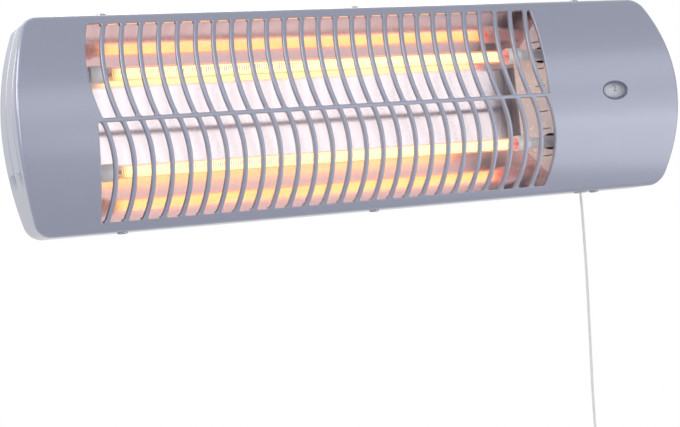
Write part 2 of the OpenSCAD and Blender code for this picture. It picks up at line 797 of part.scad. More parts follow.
// A round tube along a line of points that runs down, closed at both ends
module tube_along(line, d, sides) {
    last = len(line) - 1;
    rings = [
        for (i = [0:last]) let (
            way = i == 0 || i == last ? [0, 0, -1] : line[i + 1] - line[i - 1],
            side = cross([0, 1, 0], way / norm(way)),
            u = side / norm(side),
            v = cross(way / norm(way), u)
        ) for (k = [0:sides - 1]) line[i] + d / 2 * (u * cos(360 * k / sides) + v * sin(360 * k / sides))
    ];
    walls = [
        for (i = [0:last - 1], k = [0:sides - 1]) let (m = (k + 1) % sides)
            each [[i * sides + k, i * sides + m, (i + 1) * sides + m], [i * sides + k, (i + 1) * sides + m,
                (i + 1) * sides + k]]
    ];
    caps = [[for (k = [sides - 1:-1:0]) k], [for (k = [0:sides - 1]) last * sides + k]];
    polyhedron(rings, concat(walls, caps));
}

module pull_cord() {
    color("#e8e6df") translate(cord_top) tube_along(cord_line(cord_route, cord_steps), cord_d, cord_sides);
}

module pull_knob() {
    outline = [
        [0, 0], [0.2, 0], [0.3, -0.14], [0.36, -0.45], [0.5, -0.86], [0.46, -0.96], [0.36, -1], [0, -1]
    ];
    color("#e8e6df") translate(cord_top + cord_route[len(cord_route) - 1])
        rotate_extrude($fn = medium) polygon([for (p = outline) [p.x * knob_d, p.y * knob_l]]);
}

module terminal_block() {
    color("#e4e4e0") in_housing() difference() {
        union() {
            block([block_x1, boss_t - block_h, -block_l / 2], [block_x1 + block_w, boss_t, block_l / 2]);
            block([block_x - 4, boss_t - ear_h, -block_ear_z], [block_x + 4, boss_t, block_ear_z]);
        }
        for (s = [-1, 1]) translate([block_x, 0, s * block_screw_z])
            bar_y(small_d + fit_gap, boss_t - ear_h - 1, boss_t + 1);
        for (k = [-1:1]) translate([block_x, 0, k * block_l / 3.4])
            bar_y(4, boss_t - block_h - 1, boss_t - block_h + 5);
    }
}

module cable_grommet() {
    color("#26272a") in_housing() translate([block_x, 0, -cable_z]) difference() {
        union() {
            bar_y(grommet_neck + 4, pan_floor_t - 1.5, pan_floor_t, medium);
            bar_y(grommet_neck, pan_floor_t - 1, pan_t + 1, medium);
            bar_y(grommet_neck + 4, pan_t, pan_t + 1.5, medium);
        }
        bar_y(cable_bore, pan_floor_t - 3, pan_t + 3, medium);
    }
}

module thermal_cutout() {
    color("#5b5d63") in_housing() {
        translate([cutout_x, 0, 0]) bar_y(cutout_d, back_t, back_t + cutout_h, medium);
        for (s = [-1, 1]) translate([cutout_x + s * cutout_tab, 0, 0])
            block([-0.4, back_t + cutout_h - 1, -3], [0.4, wire_t + 3, 3]);
    }
}

// A wire with square, rounded bends. Its points are X, depth and Z
function towards(a, b) = (b - a) / norm(b - a);
module wire(points) {
    last = len(points) - 1;
    in_housing() {
        for (i = [0:last - 1]) let (
            way = towards(points[i], points[i + 1]),
            a = points[i] + (i == 0 ? 0 : wire_bend) * way,
            b = points[i + 1] - (i == last - 1 ? 0 : wire_bend) * way
        ) translate(a) rotate([0, acos(way.z), atan2(way.y, way.x)])
            cylinder(d = wire_d, h = norm(b - a), $fn = small);
        if (last > 1) for (i = [1:last - 1])
            elbow(points[i], towards(points[i - 1], points[i]), towards(points[i], points[i + 1]));
    }
}

// A quarter bend of a wire round a corner, from the way a to the way b
module elbow(corner, a, b) {
    mid = corner + wire_bend * (b - a);
    up = cross(a, b);
    multmatrix([[-b.x, a.x, up.x, mid.x], [-b.y, a.y, up.y, mid.y], [-b.z, a.z, up.z, mid.z], [0, 0, 0, 1]])
        rotate_extrude(angle = 90, $fn = small) translate([wire_bend, 0]) circle(d = wire_d, $fn = small);
}

module wire_upper() {
    color("#3a3a3a") wire([
        [right_pin, tube_t, tube_z], [switch_mid, tube_t, tube_z], [switch_mid, tube_t, switch_top]
    ]);
}

module wire_lower() {
    color("#8a5a3a") wire([
        [right_pin, tube_t, -tube_z], [right_pin + 3.2, tube_t, -tube_z],
        [right_pin + 3.2, lever_t, -tube_z], [switch_mid, lever_t, -tube_z],
        [switch_mid, lever_t, switch_bottom]
    ]);
}

module wire_link() {
    color("#3a6ea8") wire([
        [left_pin, tube_t, tube_z], [link_x, tube_t, tube_z],
        [link_x, tube_t, -tube_z], [left_pin, tube_t, -tube_z]
    ]);
}

module wire_return() {
    color("#3a6ea8") wire([
        [link_x + wire_d / 2 + 0.05, tube_t, 0], [return_x, tube_t, 0], [return_x, wire_t, 0],
        [cutout_x - cutout_tab - 0.4, wire_t, 0]
    ]);
}

module wire_neutral() {
    color("#3a6ea8") wire([[cutout_x + cutout_tab + 0.4, wire_t, 0], [block_x1, wire_t, 0]]);
}

module wire_live() {
    color("#8a5a3a") wire([
        [block_x1, wire_t + 2, live_z], [live_x, wire_t + 2, live_z],
        [live_x, lever_t, live_z], [switch_x2, lever_t, live_z]
    ]);
}

module wire_earth() {
    color("#7fa34a") wire([[tube_x + holder_out_x, wire_t + 4, earth_z], [block_x1, wire_t + 4, earth_z]]);
}

// One ear of a bracket, seen along the pivot: from its foot at y0 to the round end at the pivot
module ear(y0, h) {
    polygon([[y0, -h / 2], [y0, h / 2], [-pivot_y, ear_r], [-pivot_y, -ear_r]]);
    translate([-pivot_y, 0]) circle(r = ear_r, $fn = medium);
}

// A hole along X at the pivot's axis, through both ears
module pivot_hole(d) { translate([0, -pivot_y, 0]) bar_x(d, -wall_l, wall_l, medium); }

module swivel_bracket() {
    color("#a4a8b2") difference() {
        union() {
            block([-swivel_x, swivel_y, -swivel_h / 2], [swivel_x, swivel_y + steel, swivel_h / 2]);
            for (side = [0, 1]) mirror([side, 0, 0])
                end_view(swivel_x - steel, swivel_x) ear(swivel_y, swivel_h);
        }
        pivot_hole(bolt_d + 2 * run_gap);
        for (p = swivel_places) translate([p.x, 0, p.y])
            bar_y(swivel_screw + fit_gap, swivel_y - 1, swivel_y + steel + 1);
    }
}

module swivel_screws() {
    color("#9c9ea3") for (p = swivel_places) translate([p.x, swivel_y + steel, p.y]) rotate([-90, 0, 0])
        screw(swivel_screw, swivel_screw_l, 1.75 * swivel_screw, 0.6 * swivel_screw);
}

module wall_bracket() {
    color("#8f939e") difference() {
        union() {
            block([-wall_l / 2, -steel, -wall_h / 2], [wall_l / 2, 0, wall_h / 2]);
            for (side = [0, 1]) mirror([side, 0, 0]) end_view(ear_x, wall_l / 2) ear(0, wall_h);
        }
        pivot_hole(bolt_d + 2 * run_gap);
        for (x = [-1, 1], z = [-1, 1]) translate([x * hole_pitch_x / 2, 0, z * hole_pitch_z / 2])
            bar_y(hole_d, -steel - 1, 1, medium);
    }
}

// The pieces of the right pivot; each left one is a mirror image
module at_pivot(side) { mirror([side, 0, 0]) translate([0, -pivot_y, 0]) children(); }

module pivot_bolt() {
    color("#b4b6ba") {
        bar_x(bolt_d, swivel_x - steel - 1, nut_x + nut_l + 2, medium);
        translate([swivel_x - steel - 4, 0, 0]) rotate([0, 90, 0])
            cylinder(d = 1.9 * bolt_d, h = 4, $fn = 6);
    }
}

module pivot_bolt_left() { at_pivot(1) pivot_bolt(); }
module pivot_bolt_right() { at_pivot(0) pivot_bolt(); }

// A washer from x0 to x1
module washer(d, x0, x1) {
    difference() {
        bar_x(d, x0, x1, medium);
        bar_x(bolt_d + 2 * run_gap, x0 - 1, x1 + 1, medium);
    }
}

module friction_washer_left() { color("#33353a") at_pivot(1) washer(2 * ear_r - 1, swivel_x, ear_x); }
module friction_washer_right() { color("#33353a") at_pivot(0) washer(2 * ear_r - 1, swivel_x, ear_x); }
module steel_washer_left() { color("#b4b6ba") at_pivot(1) washer(2 * ear_r - 4, wall_l / 2, nut_x); }
module steel_washer_right() { color("#b4b6ba") at_pivot(0) washer(2 * ear_r - 4, wall_l / 2, nut_x); }

module wing_nut() {
    color("#c4c6ca") difference() {
        union() {
            bar_x(2 * bolt_d, nut_x, nut_x + nut_l, medium);
            for (s = [-1, 1]) translate([nut_x + nut_l - 2, 1.2, s * wing_z]) rotate([90, 0, 0])
                cylinder(r = wing_r, h = 2.4, $fn = medium);
        }
        bar_x(bolt_d + 2 * run_gap, nut_x - 1, nut_x + nut_l + wing_r + 1, medium);
    }
}

module wing_nut_left() { at_pivot(1) wing_nut(); }
module wing_nut_right() { at_pivot(0) wing_nut(); }

front_cover();
back_cover();
case_screws();
reflector();
reflector_end_left();
reflector_end_right();
tube_bracket_left();
tube_bracket_right();
quartz_tube_upper();
quartz_tube_lower();
heating_coil_upper();
heating_coil_lower();
ceramic_cap_upper_left();
ceramic_cap_upper_right();
ceramic_cap_lower_left();
ceramic_cap_lower_right();
terminal_pins();
lens();
lens_bezel();
indicator_drum();
pull_switch();
switch_lever();
lever_spring();
switch_bracket();
inner_screws();
cord_bush();
pull_link();
pull_cord();
pull_knob();
terminal_block();
cable_grommet();
thermal_cutout();
wire_upper();
wire_lower();
wire_link();
wire_return();
wire_neutral();
wire_live();
wire_earth();
swivel_bracket();
swivel_screws();
wall_bracket();
pivot_bolt_left();
pivot_bolt_right();
friction_washer_left();
friction_washer_right();
steel_washer_left();
steel_washer_right();
wing_nut_left();
wing_nut_right();
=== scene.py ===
import bmesh
import bpy
import json
import math
from mathutils import Matrix, Vector
from mathutils.geometry import tessellate_polygon

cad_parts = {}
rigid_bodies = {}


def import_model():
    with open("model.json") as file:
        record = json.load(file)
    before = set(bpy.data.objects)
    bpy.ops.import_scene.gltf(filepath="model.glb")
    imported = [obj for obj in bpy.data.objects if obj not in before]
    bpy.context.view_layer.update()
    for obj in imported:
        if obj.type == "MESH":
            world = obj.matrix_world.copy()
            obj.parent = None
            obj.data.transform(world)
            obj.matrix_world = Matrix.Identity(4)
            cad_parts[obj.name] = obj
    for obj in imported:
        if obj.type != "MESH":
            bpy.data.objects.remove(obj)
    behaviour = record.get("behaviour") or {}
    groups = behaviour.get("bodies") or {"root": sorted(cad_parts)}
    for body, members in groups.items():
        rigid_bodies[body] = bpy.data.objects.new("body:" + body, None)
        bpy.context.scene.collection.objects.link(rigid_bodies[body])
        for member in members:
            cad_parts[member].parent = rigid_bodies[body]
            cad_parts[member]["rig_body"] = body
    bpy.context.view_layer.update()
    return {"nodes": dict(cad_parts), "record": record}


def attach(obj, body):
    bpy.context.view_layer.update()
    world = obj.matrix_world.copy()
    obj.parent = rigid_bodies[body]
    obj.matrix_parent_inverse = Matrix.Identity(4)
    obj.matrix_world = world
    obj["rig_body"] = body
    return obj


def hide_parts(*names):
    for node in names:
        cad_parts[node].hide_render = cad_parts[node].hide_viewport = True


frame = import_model()
nodes = frame["nodes"]
slotOf = {part["node"]: part["material_slot"] for part in frame["record"]["subparts"]}
mm = 0.001
crest = -123        # the front of the bowed face


def newObject(name, data):
    item = bpy.data.objects.new(name, data)
    bpy.context.scene.collection.objects.link(item)
    return item


# The plain mesh of an object as it shows, with the object taken away
def bakedMesh(item):
    mesh = bpy.data.meshes.new_from_object(item.evaluated_get(bpy.context.evaluated_depsgraph_get()))
    bpy.data.objects.remove(item)
    return mesh


def closedMesh(bm, name):
    mesh = bpy.data.meshes.new(name)
    bm.to_mesh(mesh)
    bm.free()
    return mesh


# The camera stands low at the left and is turned a little about its own axis
cameraSettings = {
    "place": (-0.49962, -1.14131, -0.11199),
    "yaw": 24.288, "pitch": -1.827, "roll": -5.878,     # degrees
    "focalPixels": 1570, "imageWidth": 680, "sensor": 36,
}


def makeCamera(s):
    yaw, pitch, roll = (math.radians(s[k]) for k in ("yaw", "pitch", "roll"))
    ahead = Vector((math.sin(yaw) * math.cos(pitch), math.cos(yaw) * math.cos(pitch), -math.sin(pitch)))
    right = Vector((math.cos(yaw), -math.sin(yaw), 0))
    up = right.cross(ahead)
    turnedRight = right * math.cos(roll) + up * math.sin(roll)
    turnedUp = up * math.cos(roll) - right * math.sin(roll)
    data = bpy.data.cameras.new("camera")
    data.sensor_fit = "HORIZONTAL"
    data.sensor_width = s["sensor"]
    data.lens = s["sensor"] * s["focalPixels"] / s["imageWidth"]
    data.clip_start = 0.05
    camera = newObject("camera", data)
    turn = Matrix((turnedRight, turnedUp, -ahead)).transposed()
    camera.matrix_world = Matrix.Translation(s["place"]) @ turn.to_4x4()
    bpy.context.scene.camera = camera


makeCamera(cameraSettings)
print("camera placed")


def linear(code):
    values = [int(code[i:i + 2], 16) / 255 for i in (1, 3, 5)]
    return [v / 12.92 if v <= 0.04045 else ((v + 0.055) / 1.055) ** 2.4 for v in values]


# Feeds a node's inputs. A value that is a socket is linked, and any other is set
def feed(tree, node, values):
    for key, value in values.items():
        if isinstance(value, bpy.types.NodeSocket):
            tree.links.new(value, node.inputs[key])
        else:
            node.inputs[key].default_value = value


def addNode(tree, kind, inputs=None, **settings):
    node = tree.nodes.new(kind)
    for name, value in settings.items():
        setattr(node, name, value)
    feed(tree, node, inputs or {})
    return node


def addMath(tree, operation, *values):
    return addNode(tree, "ShaderNodeMath", dict(enumerate(values)), operation=operation).outputs[0]


def addNoise(tree, vector, scale, detail=4.0):
    values = {"Vector": vector, "Scale": scale, "Detail": detail}
    return addNode(tree, "ShaderNodeTexNoise", values).outputs["Fac"]


def addRange(tree, value, low, high, fromLow=0.3, fromHigh=0.7):
    values = {"Value": value, "From Min": fromLow, "From Max": fromHigh, "To Min": low, "To Max": high}
    return addNode(tree, "ShaderNodeMapRange", values).outputs["Result"]


def addMix(tree, factor, first, second):
    return addNode(tree, "ShaderNodeMix", {0: factor, 6: first, 7: second}, data_type="RGBA").outputs[2]


def addRamp(tree, factor, stops):
    ramp = addNode(tree, "ShaderNodeValToRGB", {"Fac": factor})
    elements = ramp.color_ramp.elements
    while len(elements) < len(stops):
        elements.new(0.5)
    for element, (position, color) in zip(elements, stops):
        element.position = position
        element.color = (*color, 1)
    return ramp.outputs["Color"]


def addBump(tree, height, strength, depth):
    values = {"Height": height, "Strength": strength, "Distance": depth * mm}
    return addNode(tree, "ShaderNodeBump", values).outputs["Normal"]


def objectPlace(tree):
    return addNode(tree, "ShaderNodeTexCoord").outputs["Object"]


def splitVector(tree, vector):
    return addNode(tree, "ShaderNodeSeparateXYZ", {"Vector": vector}).outputs


def tinted(color, share):
    return [min(1.0, c * share) for c in color[:3]] + [1]


def newMaterial(name):
    material = bpy.data.materials.new(name)
    material.use_nodes = True
    return material, material.node_tree, material.node_tree.nodes["Principled BSDF"]


# One finish: a base colour that varies a little, and a fine grain in the surface and its roughness
def makeFinish(name, color, roughness, metallic=0.0, mottle=0.05, mottleScale=60, grain=0.15,
               grainScale=1400, stretch=(1, 1, 1), bumpDepth=0.05, coat=0.0, coatRoughness=0.03, coatIor=1.5,
               alpha=1.0):
    material, tree, shader = newMaterial(name)
    place = addNode(tree, "ShaderNodeMapping", {"Vector": objectPlace(tree), "Scale": stretch}).outputs[0]
    broad = addNoise(tree, place, mottleScale)
    fine = addNoise(tree, place, grainScale, 3.0)
    base = linear(color)
    feed(tree, shader, {
        "Base Color": addMix(tree, broad, tinted(base, 1 - mottle), tinted(base, 1 + mottle)),
        "Roughness": addRange(tree, fine, roughness * 0.85, min(1, roughness * 1.15)),
        "Normal": addBump(tree, fine, grain, bumpDepth), "Metallic": metallic, "Alpha": alpha,
        "Coat Weight": coat, "Coat Roughness": coatRoughness, "Coat IOR": coatIor,
    })
    return material


def camelName(node):
    first, *rest = node.split("_")
    return first + "".join(word.capitalize() for word in rest)


# Adds a piece with the body, slot and finish of a CAD node. It takes the node's place and, with no name of
# its own, the node's name
def addPiece(mesh, node, name=None, material=None, takesPlace=True):
    mesh.name = name or camelName(node)
    piece = newObject(mesh.name, mesh)
    mesh.materials.clear()
    mesh.materials.append(material or finishes[slotOf[node]])
    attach(piece, nodes[node]["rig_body"])
    if takesPlace:
        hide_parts(node)
    return piece


def meshFrom(name, points, faces, edges=()):
    mesh = bpy.data.meshes.new(name)
    mesh.from_pydata(points, edges, faces)
    mesh.update()
    return mesh


# The faces over rings of equally many corners that follow one another, with both ends closed
def tubeFaces(rings, count):
    faces = []
    for i in range(rings - 1):
        for k in range(count):
            m = (k + 1) % count
            faces.append((i * count + k, i * count + m, (i + 1) * count + m, (i + 1) * count + k))
    return faces + [tuple(range(count - 1, -1, -1)), tuple((rings - 1) * count + k for k in range(count))]


def markSmooth(bm, degrees):
    limit = math.radians(degrees)
    for face in bm.faces:
        face.smooth = True
    for edge in bm.edges:
        edge.smooth = len(edge.link_faces) == 2 and edge.calc_face_angle(0) < limit


# The pull cord: a tube along the same route as the solid's, with a braided sleeve
cordSettings = {
    "top": (180, -96.004, -78.05), "diameter": 2.0, "stepsPerSpan": 12, "sides": 14,
    "route": [(0, 0, 0), (-0.2, 0, -12), (-0.8, 0.4, -34), (-1.6, 1, -60), (-2.8, 2, -90), (-4.2, 3, -120),
              (-5.6, 4, -150), (-6.6, 4.6, -178), (-7.2, 5, -206), (-7.4, 5, -230), (-7.4, 5, -250)],
    # shade: how much darker the grooves between the strands are painted, a painted shade
    "color": "#EDEBE6", "strands": 8, "braidPitch": 2.4, "shade": 0.72, "relief": (0.5, 0.15),
    "roughness": 0.8, "sheen": 0.3,
}


def smoothRoute(points, steps):
    line = []
    last = len(points) - 1
    for i in range(last):
        a, b, c, d = (points[k] for k in (max(i - 1, 0), i, i + 1, min(i + 2, last)))
        for k in range(steps):
            u = k / steps
            line.append(0.5 * (2 * b + (c - a) * u + (2 * a - 5 * b + 4 * c - d) * u * u
                               + (3 * b - a - 3 * c + d) * u ** 3))
    return line + [points[last]]


def braidMaterial(s):
    material, tree, shader = newMaterial("braidedCord")
    around, along = splitVector(tree, addNode(tree, "ShaderNodeUVMap", uv_map="along").outputs["UV"])[:2]
    waves = []
    for turn in (1, -1):
        slant = addMath(tree, "MULTIPLY", around, turn * s["strands"] * math.tau / 2)
        phase = addMath(tree, "MULTIPLY_ADD", along, math.tau / s["braidPitch"], slant)
        waves.append(addMath(tree, "SINE", phase))
    # The grooves between the strands are painted darker: painted shade
    height = addRange(tree, addMath(tree, "MAXIMUM", *waves), 0, 1, -0.4, 1)
    base = linear(s["color"])
    feed(tree, shader, {
        "Base Color": addMix(tree, height, tinted(base, s["shade"]), tinted(base, 1)),
        "Normal": addBump(tree, height, *s["relief"]), "Roughness": s["roughness"],
        "Sheen Weight": s["sheen"],
    })
    return material


def makeCord(s):
    top = Vector(s["top"])
    line = [(top + p) * mm for p in smoothRoute([Vector(p) for p in s["route"]], s["stepsPerSpan"])]
    sides, radius, last = s["sides"], s["diameter"] / 2 * mm, len(line) - 1
    points, places = [], []
    travelled = 0
    for i, p in enumerate(line):
        ahead = (line[min(i + 1, last)] - line[max(i - 1, 0)]).normalized()
        side = Vector((0, 1, 0)).cross(ahead).normalized()
        other = ahead.cross(side)
        travelled += (p - line[max(i - 1, 0)]).length
        places.append(travelled / mm)
        for k in range(sides):
            a = math.tau * k / sides
            points.append(p + radius * (side * math.cos(a) + other * math.sin(a)))
    mesh = meshFrom("pullCord", points, tubeFaces(len(line), sides))
    layer = mesh.uv_layers.new(name="along")
    for face in mesh.polygons:
        turns = [v % sides for v in face.vertices]
        wraps = 0 in turns and sides - 1 in turns
        for corner, v, k in zip(face.loop_indices, face.vertices, turns):
            layer.data[corner].uv = ((sides if wraps and k == 0 else k) / sides, places[v // sides])
        face.use_smooth = len(turns) == 4
    cord = addPiece(mesh, "pull_cord", material=braidMaterial(s))


makeCord(cordSettings)
print("cord made")

# Finishes of the whole object. Those of special pieces stand beside their pieces
finishes = {
    "cover_grey": makeFinish("silverLacquer", "#82869A", 0.5, metallic=0.5, mottle=0.03, grain=0.12,
                             grainScale=2600, bumpDepth=0.03, coat=1.0, coatRoughness=0.22, coatIor=1.8),
    "pan_grey": makeFinish("greyMoulding", "#83889A", 0.55, grain=0.5, grainScale=1700, bumpDepth=0.08),
    "zinc_steel": makeFinish("zincPlate", "#A9ABB0", 0.34, metallic=1, mottle=0.12, mottleScale=90,
                             grain=0.2),
    "ceramic": makeFinish("glazedCeramic", "#FAF8F8", 0.3, mottle=0.04, coat=0.4),
    "pin_metal": makeFinish("nickelPins", "#9B9B9C", 0.3, metallic=1, mottle=0.1, mottleScale=200),
    "lens_clear": makeFinish("clearPlastic", "#E6ECF8", 0.05, mottle=0.01, grain=0.02, coat=1.0, alpha=0.18),
    # The rim's dark grey is painted shade, for the shadowed gap round the lens
    "bezel_dark": makeFinish("darkRim", "#666C7E", 0.42, grain=0.2),
    "drum_white": makeFinish("whiteDrum", "#F2F6FC", 0.5, mottle=0.03, grain=0.2),
    "switch_black": makeFinish("phenolic", "#1F2023", 0.4, mottle=0.15, grain=0.3),
    "lever_nylon": makeFinish("naturalNylon", "#E3DECF", 0.5, grain=0.2),
    "spring_steel": makeFinish("springSteel", "#C0C2C6", 0.25, metallic=1),
    "screw_steel": makeFinish("screwPlate", "#94969C", 0.24, metallic=1, mottle=0.1, mottleScale=300,
                              grain=0.2),
    "bush_grey": makeFinish("bushPlastic", "#BFC3CF", 0.45, mottle=0.04, grain=0.2),
    "knob_white": makeFinish("knobPlastic", "#ECEAE4", 0.35, mottle=0.03, coat=0.2),
    "block_white": makeFinish("blockNylon", "#E2E2DE", 0.5, grain=0.2),
    "grommet_rubber": makeFinish("grommetRubber", "#1B1B1D", 0.7, mottle=0.2, grain=0.4),
    "cutout_metal": makeFinish("cutoutCan", "#8E9095", 0.4, metallic=0.8, mottle=0.1, grain=0.3),
    "bracket_paint": makeFinish("powderCoat", "#8C909C", 0.5, mottle=0.04, grain=0.6, grainScale=2200,
                                bumpDepth=0.1),
    "bolt_zinc": makeFinish("boltPlate", "#B7B9BE", 0.3, metallic=1, mottle=0.12, mottleScale=250,
                            grain=0.2),
    "washer_black": makeFinish("fibreWasher", "#222326", 0.75, mottle=0.2, grain=0.5),
}
for shade, code in (("black", "#262628"), ("brown", "#6A3F25"), ("blue", "#2A5E9C"), ("green", "#739E3B")):
    finishes["wire_" + shade] = makeFinish(shade + "Sleeve", code, 0.6, mottle=0.1, grain=0.4,
                                           grainScale=2500)
print("finishes made")

# The front cover: a bowed shell with two openings and the window. The face is bowed about a line along X
coverSettings = {
    "faceRadius": 150, "height": 150, "length": 528.4, "endRadius": 185, "lowEndRadius": 240,
    "cornerRadius": 13, "wall": 2.8, "depth": 50, "edgeRound": 2.8, "openingRound": 0.9, "level": 3.0,
    "rimEase": 0.4, "ringGap": 0.05,
    "grooves": (12, 31.5), "grooveHalf": 1.1, "grooveSink": 1.4, "grooveEnd": -40, "grooveFade": 14,
    "window": (204.5, 0.5), "windowHalf": (11.45, 7.35), "windowRound": 0.35,
}
grilleSettings = {
    "middle": -32.1, "length": 355, "edge": 6.9, "rail": 3, "slats": 26, "slatWidth": 3.2, "bow": 6.2,
    "straightGap": 4.2, "bowedGap": 1.9, "slatRound": 1.25, "fillet": 1.3, "along": 56, "sink": 0.35,
    "ring": 4, "behind": 0.05,
}


def grilleValues(g, c):
    low, high = g["rail"] / 2, c["height"] / 2 - g["edge"]
    half = (high - low) / 2
    pitch = (g["length"] - g["straightGap"] - g["bowedGap"]) / g["slats"]
    return {
        "low": low, "high": high, "mid": (low + high) / 2, "half": half, "pitch": pitch,
        "radius": (g["bow"] ** 2 + half ** 2) / (2 * g["bow"]),
        "first": g["bowedGap"] - g["length"] / 2 + pitch,
    }


rows = grilleValues(grilleSettings, coverSettings)


def faceDepth(z, sunk=0):
    radius = coverSettings["faceRadius"]
    return radius - math.sqrt((radius - sunk) ** 2 - z * z)


# The points of a round corner between three points of a flat line
def cornerArc(before, corner, after, radius, steps):
    a, b = (before - corner).normalized(), (after - corner).normalized()
    angle = math.acos(max(-1, min(1, a.dot(b))))
    if radius == 0 or angle > math.radians(179):
        return [corner]
    middle = corner + (a + b).normalized() * radius / math.sin(angle / 2)
    reach = radius / math.tan(angle / 2)
    start, end = corner + a * reach - middle, corner + b * reach - middle
    sweep = start.angle_signed(end)
    return [middle + Matrix.Rotation(-sweep * k / steps, 2) @ start for k in range(steps + 1)]


# A line with its corners rounded. Each point is two numbers and its corner's radius
def roundedLine(points, closed, steps=4):
    flat = [Vector(p[:2]) for p in points]
    last = len(points) - 1
    line = []
    for i, p in enumerate(flat):
        if not closed and i in (0, last):
            line.append(p)
        else:
            line += cornerArc(flat[i - 1], p, flat[(i + 1) % len(flat)], points[i][2], steps)
    return line


# Rounds the corners of a line of many points, and drops the points that the arcs take the place of
def filletCorners(path, radius, steps=7, limit=25, room=0.3):
    count = len(path)
    corners = {}
    for i, p in enumerate(path):
        a, b = (path[i - 1] - p).normalized(), (path[(i + 1) % count] - p).normalized()
        angle = math.acos(max(-1, min(1, a.dot(b))))
        if math.pi - angle > math.radians(limit):
            corners[i] = radius / math.tan(angle / 2) + room
    result = []
    for i, p in enumerate(path):
        if i in corners:
            result += cornerArc(path[i - 1], p, path[(i + 1) % count], radius, steps)
        elif all((p - path[k]).length > corners[k] for k in corners):
            result.append(p)
    return result


def openingPath(turned):
    g, v = grilleSettings, rows
    edgeX = v["first"] - v["pitch"] - g["bow"] + v["radius"]
    radius = v["radius"] - g["slatWidth"] / 2
    path = [Vector((g["length"] / 2, v["low"])), Vector((g["length"] / 2, v["high"]))]
    for k in range(49):
        z = v["high"] - (v["high"] - v["low"]) * k / 48
        path.append(Vector((edgeX - math.sqrt(radius ** 2 - (z - v["mid"]) ** 2), z)))
    path = filletCorners(path, g["fillet"])
    side = -1 if turned else 1
    return [Vector((g["middle"] + side * p.x, side * p.y)) for p in path]


# The housing's outline, with its outward normals. The lower halves of its ends are flatter
def outlinePath():
    c = coverSettings
    corner, cornerZ = c["cornerRadius"], c["height"] / 2 - c["cornerRadius"]
    quarters = []
    for radius in (c["endRadius"], c["lowEndRadius"]):
        reach, endX = radius - corner, c["length"] / 2 - radius
        cornerX = endX + math.sqrt(reach ** 2 - cornerZ ** 2)
        start = math.asin(cornerZ / reach)
        quarter = []
        for k in range(20):
            n = Vector((math.cos(start * k / 20), math.sin(start * k / 20)))
            quarter.append((Vector((endX, 0)) + n * radius, n))
        for k in range(15):
            a = start + (math.pi / 2 - start) * k / 14
            n = Vector((math.cos(a), math.sin(a)))
            quarter.append((Vector((cornerX, cornerZ)) + n * corner, n))
        quarters.append(quarter)
    upper, lower = quarters[0], quarters[1][1:]
    flip = lambda items, sx, sz: [tuple(Vector((v.x * sx, v.y * sz)) for v in item) for item in items]
    return upper + flip(upper, -1, 1)[::-1] + flip(lower, -1, -1) + flip(lower, 1, -1)[::-1]


def ovalPath(center, half, steps=64):
    return [Vector((center[0] + half[0] * math.cos(math.tau * k / steps),
                    center[1] + half[1] * math.sin(math.tau * k / steps))) for k in range(steps)]


def withNormals(path):
    area = sum(path[i - 1].x * path[i].y - path[i].x * path[i - 1].y for i in range(len(path)))
    side = 1 if area > 0 else -1
    result = []
    for i, p in enumerate(path):
        along = (path[(i + 1) % len(path)] - path[i - 1]).normalized()
        result.append((p, Vector((along.y, -along.x)) * side))
    return result


def roundedSteps(radius, count):
    turns = [math.pi / 2 * k / count for k in range(count + 1)]
    return [(radius * (1 - math.sin(a)), radius * (1 - math.cos(a))) for a in turns]


# Puts rings of vertices round one loop, joins each ring to the next, and gives all the rings.
# A vertex is x, z, the depth behind the face, and 1 where it lies on the wall's inner side
def addRings(bm, rings, closed=False, innerLayer=None):
    made = []
    for ring in rings:
        verts = []
        for x, z, depth, inner in ring:
            v = bm.verts.new((x, depth, z))
            if innerLayer:
                v[innerLayer] = inner
            verts.append(v)
        made.append(verts)
    for a, b in zip(made, made[1:] + (made[:1] if closed else [])):
        for i in range(len(a)):
            k = (i + 1) % len(a)
            bm.faces.new((a[i], a[k], b[k], b[i]))
    return made


def fillBetween(bm, outline, holes):
    loops = [outline] + holes
    flat = [v for loop in loops for v in loop]
    for triangle in tessellate_polygon([[Vector((v.co.x, v.co.z, 0)) for v in loop] for loop in loops]):
        corners = [flat[i] for i in triangle]
        if len(set(corners)) == 3:
            bm.faces.new(corners)


# Closes a bmesh: doubles merged, faces turned outwards, edges marked, and sizes made metres
def finishMesh(bm, smooth=35, inMetres=False):
    if not inMetres:
        bmesh.ops.remove_doubles(bm, verts=bm.verts[:], dist=1e-5)
        bmesh.ops.scale(bm, vec=(mm, mm, mm), verts=bm.verts[:])
    bmesh.ops.recalc_face_normals(bm, faces=bm.faces[:])
    markSmooth(bm, smooth)
    return closedMesh(bm, "piece")


def cutAt(bm, place, normal):
    bmesh.ops.bisect_plane(bm, geom=bm.verts[:] + bm.edges[:] + bm.faces[:], dist=1e-5, plane_co=place,
                           plane_no=normal)


